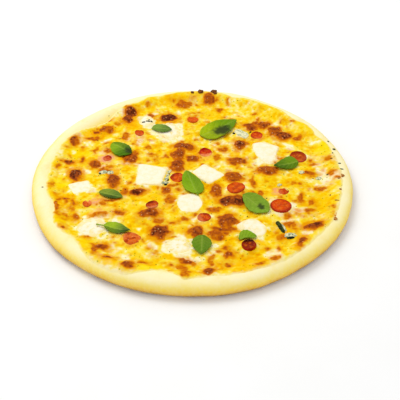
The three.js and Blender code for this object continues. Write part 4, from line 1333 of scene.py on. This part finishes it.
# each list holds x, y, length, width, turn
crumbs = {
    "seed": 8,
    "rise": 1.6,
    "bits": 12,
    "bitSize": (0.8, 2.0),
    "whiteRise": 1.3,
    "blue": [
        (-21.8, 4.5, 5, 3, 60), (-23.4, -2, 6, 3.2, 80), (-25, -13, 5.5, 4, 20), (-24, -7.5, 5, 3, 80),
        (80.2, -76, 9, 1.8, -71), (-84.5, 3.2, 8, 5.5, 15), (-78, 2.2, 7, 4.5, 0), (119, -6, 5, 4, 0),
        (81, -16, 4, 3, 30), (104, 3, 6, 4, 20), (84.7, -85.5, 10, 6, 0),
    ],
    "herb": [
        (77.4, -75.4, 15, 4, -71), (75.6, -70, 6, 4.4, -71), (84.5, -88.4, 7, 2.6, 5),
        (-22.6, -9.5, 2.6, 1.2, 70), (-22, 0.5, 2.2, 1, 60), (-24.4, -16, 3, 1.4, 20),
        (-27.4, -14, 2.4, 1.2, 70), (-85.5, 5, 5, 1.4, 15), (-79, 3.9, 4, 1.2, 0),
        (-87.5, 1, 3, 1.6, -50), (59, 69, 4, 1.4, 50), (42, 66, 3, 1.4, -40),
    ],
    # herb on a white lump, whiteRise above the cheese
    "onWhite": [
        (-51.2, 87, 4, 1.6, 15), (-47, 88.6, 5, 1.8, -5), (-43.4, 88.8, 3, 1.4, -40), (-46, 91, 2, 1.2, 0),
    ],
    # dark flecks on the cheese's edge and on the rim
    "atRim": [
        (135.2, 48.4, 2.6, 1.4, -50), (138.9, 34.4, 3.4, 2.8, 0), (136.2, 26.4, 2.2, 1.4, 40),
        (140.5, 10.4, 3.4, 1.1, 0), (140.6, 1.6, 5, 1.3, -15), (-137.2, -24.2, 1.8, 1.2, 0),
        (128, -2, 3, 1.2, 20), (134, 18, 2.6, 1, -20), (-118, 22, 2.4, 1.6, 80),
    ],
    # browned flakes there
    "flakes": [
        (139.8, -8.4, 5.4, 4.8, 20), (136.6, -12.6, 3, 2.6, 0), (135.5, -28.8, 2.6, 2.4, 0),
        (126, -34.2, 2.4, 2, 30), (129.9, -44.4, 4.6, 1.4, -10), (124.6, -67.4, 5.2, 4.4, -30),
    ],
}

# tiny flecks of herb, strewn at random inside a radius
fleckScatter = {"seed": 5, "count": 46, "reach": 134, "length": (0.9, 2.0), "rise": 0.25}

blueLook = {
    "pale": "e6e2b4",
    "blue": "93a080",
    "dark": "343a24",
    "veinSize": 2.4,
    "veins": (0.46, 0.64),
    "spots": (1.7, 0.45, 0.32),
    "spotStrength": 0.8,
    "roughness": 0.55,
    "shine": 0.08,
    "grain": 1.5,
    "bump": 0.3,
}
herbLook = {
    "black": "1c2010",
    "leaf": "46501c",
    "patchSize": 3.0,
    "roughness": 0.6,
    "shine": 0.06,
    "grain": 1.2,
    "bump": 0.2,
}
charLook = {"body": "4e240e", "edge": "8e541e", "roughness": 0.4, "shine": 0.1, "grain": 1.6, "bump": 0.4}
flakeLook = {**charLook, "body": "8a4a14", "edge": "c88a3a"}


# a rough, flattened ball
def addCrumb(bm, x, y, z, length, width, height, turn, detail):
    made = bmesh.ops.create_icosphere(bm, subdivisions=detail, radius=1)["verts"]
    bmesh.ops.scale(bm, verts=made, vec=(length / 2 * mm, width / 2 * mm, height * mm))
    for corner in made:
        nudge = noise.noise_vector(corner.co / (1.3 * mm) + Vector((x, y, 0)))
        corner.co += nudge * 0.5 * height * mm
    bmesh.ops.rotate(bm, verts=made, cent=(0, 0, 0), matrix=Matrix.Rotation(math.radians(turn), 3, "Z"))
    bmesh.ops.translate(bm, verts=made, vec=(x * mm, y * mm, z * mm))


# a low crumb with smaller bits strewn over it
def addCluster(bm, x, y, length, width, turn, random):
    rise, turned = crumbs["rise"], math.radians(turn)
    addCrumb(bm, x, y, surfaceAt(x, y) + 0.05, length, width, 0.65 * rise, turn, 3)
    for _ in range(crumbs["bits"]):
        angle, reach = random.uniform(0, fullTurn), 0.55 * math.sqrt(random.uniform())
        along, across = length * reach * math.cos(angle), width * reach * math.sin(angle)
        bitX = x + along * math.cos(turned) - across * math.sin(turned)
        bitY = y + along * math.sin(turned) + across * math.cos(turned)
        size, narrow = random.uniform(*crumbs["bitSize"]), random.uniform(0.55, 1)
        lifted = surfaceAt(bitX, bitY) + 0.4 * rise * (1 - reach)
        addCrumb(bm, bitX, bitY, lifted, size, size * narrow, 0.4 * size, random.uniform(0, 180), 2)


# adds a list of crumbs, each lifted above the height that a function gives at its place
def addCrumbs(bm, rows, floorAt, lift, rise, detail=3):
    for x, y, length, width, turn in rows:
        addCrumb(bm, x, y, floorAt(x, y) + lift, length, width, rise, turn, detail)


def herbMaterial():
    material, tree = newMaterial("wiltedHerb")
    grainHeight = useGrain(tree, herbLook["grain"])[0]
    patches = between(tree, noiseTexture(tree, objectPlace(tree), herbLook["patchSize"], 3.0), 0.45, 0.65)
    body = tinted(tree, colour(herbLook["black"]), herbLook["leaf"], patches)
    return finishMaterial(material, body, herbLook, grainHeight)


def charMaterial(name, look):
    material, tree = newMaterial(name)
    grainHeight, grainTint = useGrain(tree, look["grain"])
    body = tinted(tree, colour(look["body"]), look["edge"], grainTint)
    return finishMaterial(material, body, look, grainHeight)


def makeBlueCrumbs():
    bm = bmesh.new()
    random = np.random.default_rng(crumbs["seed"])
    for row in crumbs["blue"]:
        addCluster(bm, *row, random)
    material = veinedMaterial("blueCheeseCrumb", blueLook)
    finishPiece(makePiece(bm, "blue_cheese_crumbs"), material, "melted_cheese", "melted_cheese")


def makeHerbFlecks():
    bm = bmesh.new()
    addCrumbs(bm, crumbs["herb"], surfaceAt, 0.3, 0.6 * crumbs["rise"])
    addCrumbs(bm, crumbs["onWhite"], cheeseTopAt, crumbs["whiteRise"], 0.4 * crumbs["rise"])
    addCrumbs(bm, crumbs["atRim"], edgeHeight, 0.1, 0.5, 2)
    random = np.random.default_rng(fleckScatter["seed"])
    for _ in range(fleckScatter["count"]):
        x, y = strewnPlace(random, fleckScatter["reach"])
        length, turn = random.uniform(*fleckScatter["length"]), random.uniform(0, 180)
        addCrumb(bm, x, y, surfaceAt(x, y) + 0.05, length, 0.5 * length, fleckScatter["rise"], turn, 1)
    finishPiece(makePiece(bm, "herb_flecks"), herbMaterial(), "basil", "melted_cheese")


def makeCharredBubbles():
    bm = bmesh.new()
    for x, y, radius in charredBubbles:
        addCrumb(bm, x, y, surfaceAt(x, y) + 0.05 * radius, 2 * radius, 1.8 * radius, 0.75 * radius, 0, 3)
    material = charMaterial("charredBubble", charLook)
    finishPiece(makePiece(bm, "charred_bubbles"), material, "melted_cheese", "melted_cheese")


def makeBrownedFlakes():
    bm = bmesh.new()
    addCrumbs(bm, crumbs["flakes"], edgeHeight, 0, 0.3)
    material = charMaterial("brownedFlake", flakeLook)
    finishPiece(makePiece(bm, "browned_flakes"), material, "melted_cheese", "melted_cheese")


makeBlueCrumbs()
makeHerbFlecks()
makeCharredBubbles()
makeBrownedFlakes()
print("crumbs and charred bubbles done")


# table, light and camera

studio = {
    "tableSize": 6,
    "table": "fafaf8",
    "tablePale": "ffffff",
    "tintSize": 60,
    "roughness": 0.8,
    "shine": 0.1,
    "sky": 0.8,
    "keyPower": 6.4,
    "keyPlace": (-0.5, 0.5, 1.15),
    "keySize": 0.7,
}

viewpoint = {
    "target": (0.0074, -0.0258, 0),
    "elevation": 40.04,
    "distance": 0.6504,
    "lens": 63,
    "sensor": 36,
}


def makeTable():
    bm = bmesh.new()
    bmesh.ops.create_grid(bm, x_segments=4, y_segments=4, size=studio["tableSize"] / 2)
    table = makePiece(bm, "studio_table")
    material, tree = newMaterial("palePaper")
    tintShare = noiseTexture(tree, objectPlace(tree), studio["tintSize"])
    paper = tinted(tree, colour(studio["table"]), studio["tablePale"], tintShare)
    table.data.materials.append(finishMaterial(material, paper, studio))


def makeLight():
    world = bpy.data.worlds.new("softStudio")
    bpy.context.scene.world = world
    world.use_nodes = True
    background = world.node_tree.nodes["Background"]
    background.inputs["Color"].default_value = (1, 1, 1, 1)
    background.inputs["Strength"].default_value = studio["sky"]
    lamp = bpy.data.lights.new("key", "AREA")
    lamp.energy = studio["keyPower"]
    lamp.size = studio["keySize"]
    key = bpy.data.objects.new("key", lamp)
    key.location = studio["keyPlace"]
    key.rotation_euler = (-Vector(studio["keyPlace"])).to_track_quat("-Z", "Y").to_euler()
    bpy.context.collection.objects.link(key)


def makeCamera():
    camera = bpy.data.cameras.new("camera")
    camera.lens = viewpoint["lens"]
    camera.sensor_width = viewpoint["sensor"]
    raised = math.radians(viewpoint["elevation"])
    target = Vector(viewpoint["target"])
    away = Vector((0, -math.cos(raised), math.sin(raised))) * viewpoint["distance"]
    stand = bpy.data.objects.new("camera", camera)
    stand.location = target + away
    stand.rotation_euler = (-away).to_track_quat("-Z", "Y").to_euler()
    bpy.context.collection.objects.link(stand)
    bpy.context.scene.camera = stand


makeTable()
makeLight()
makeCamera()
bpy.context.scene.view_settings.view_transform = "Standard"
print("table, light and camera done")
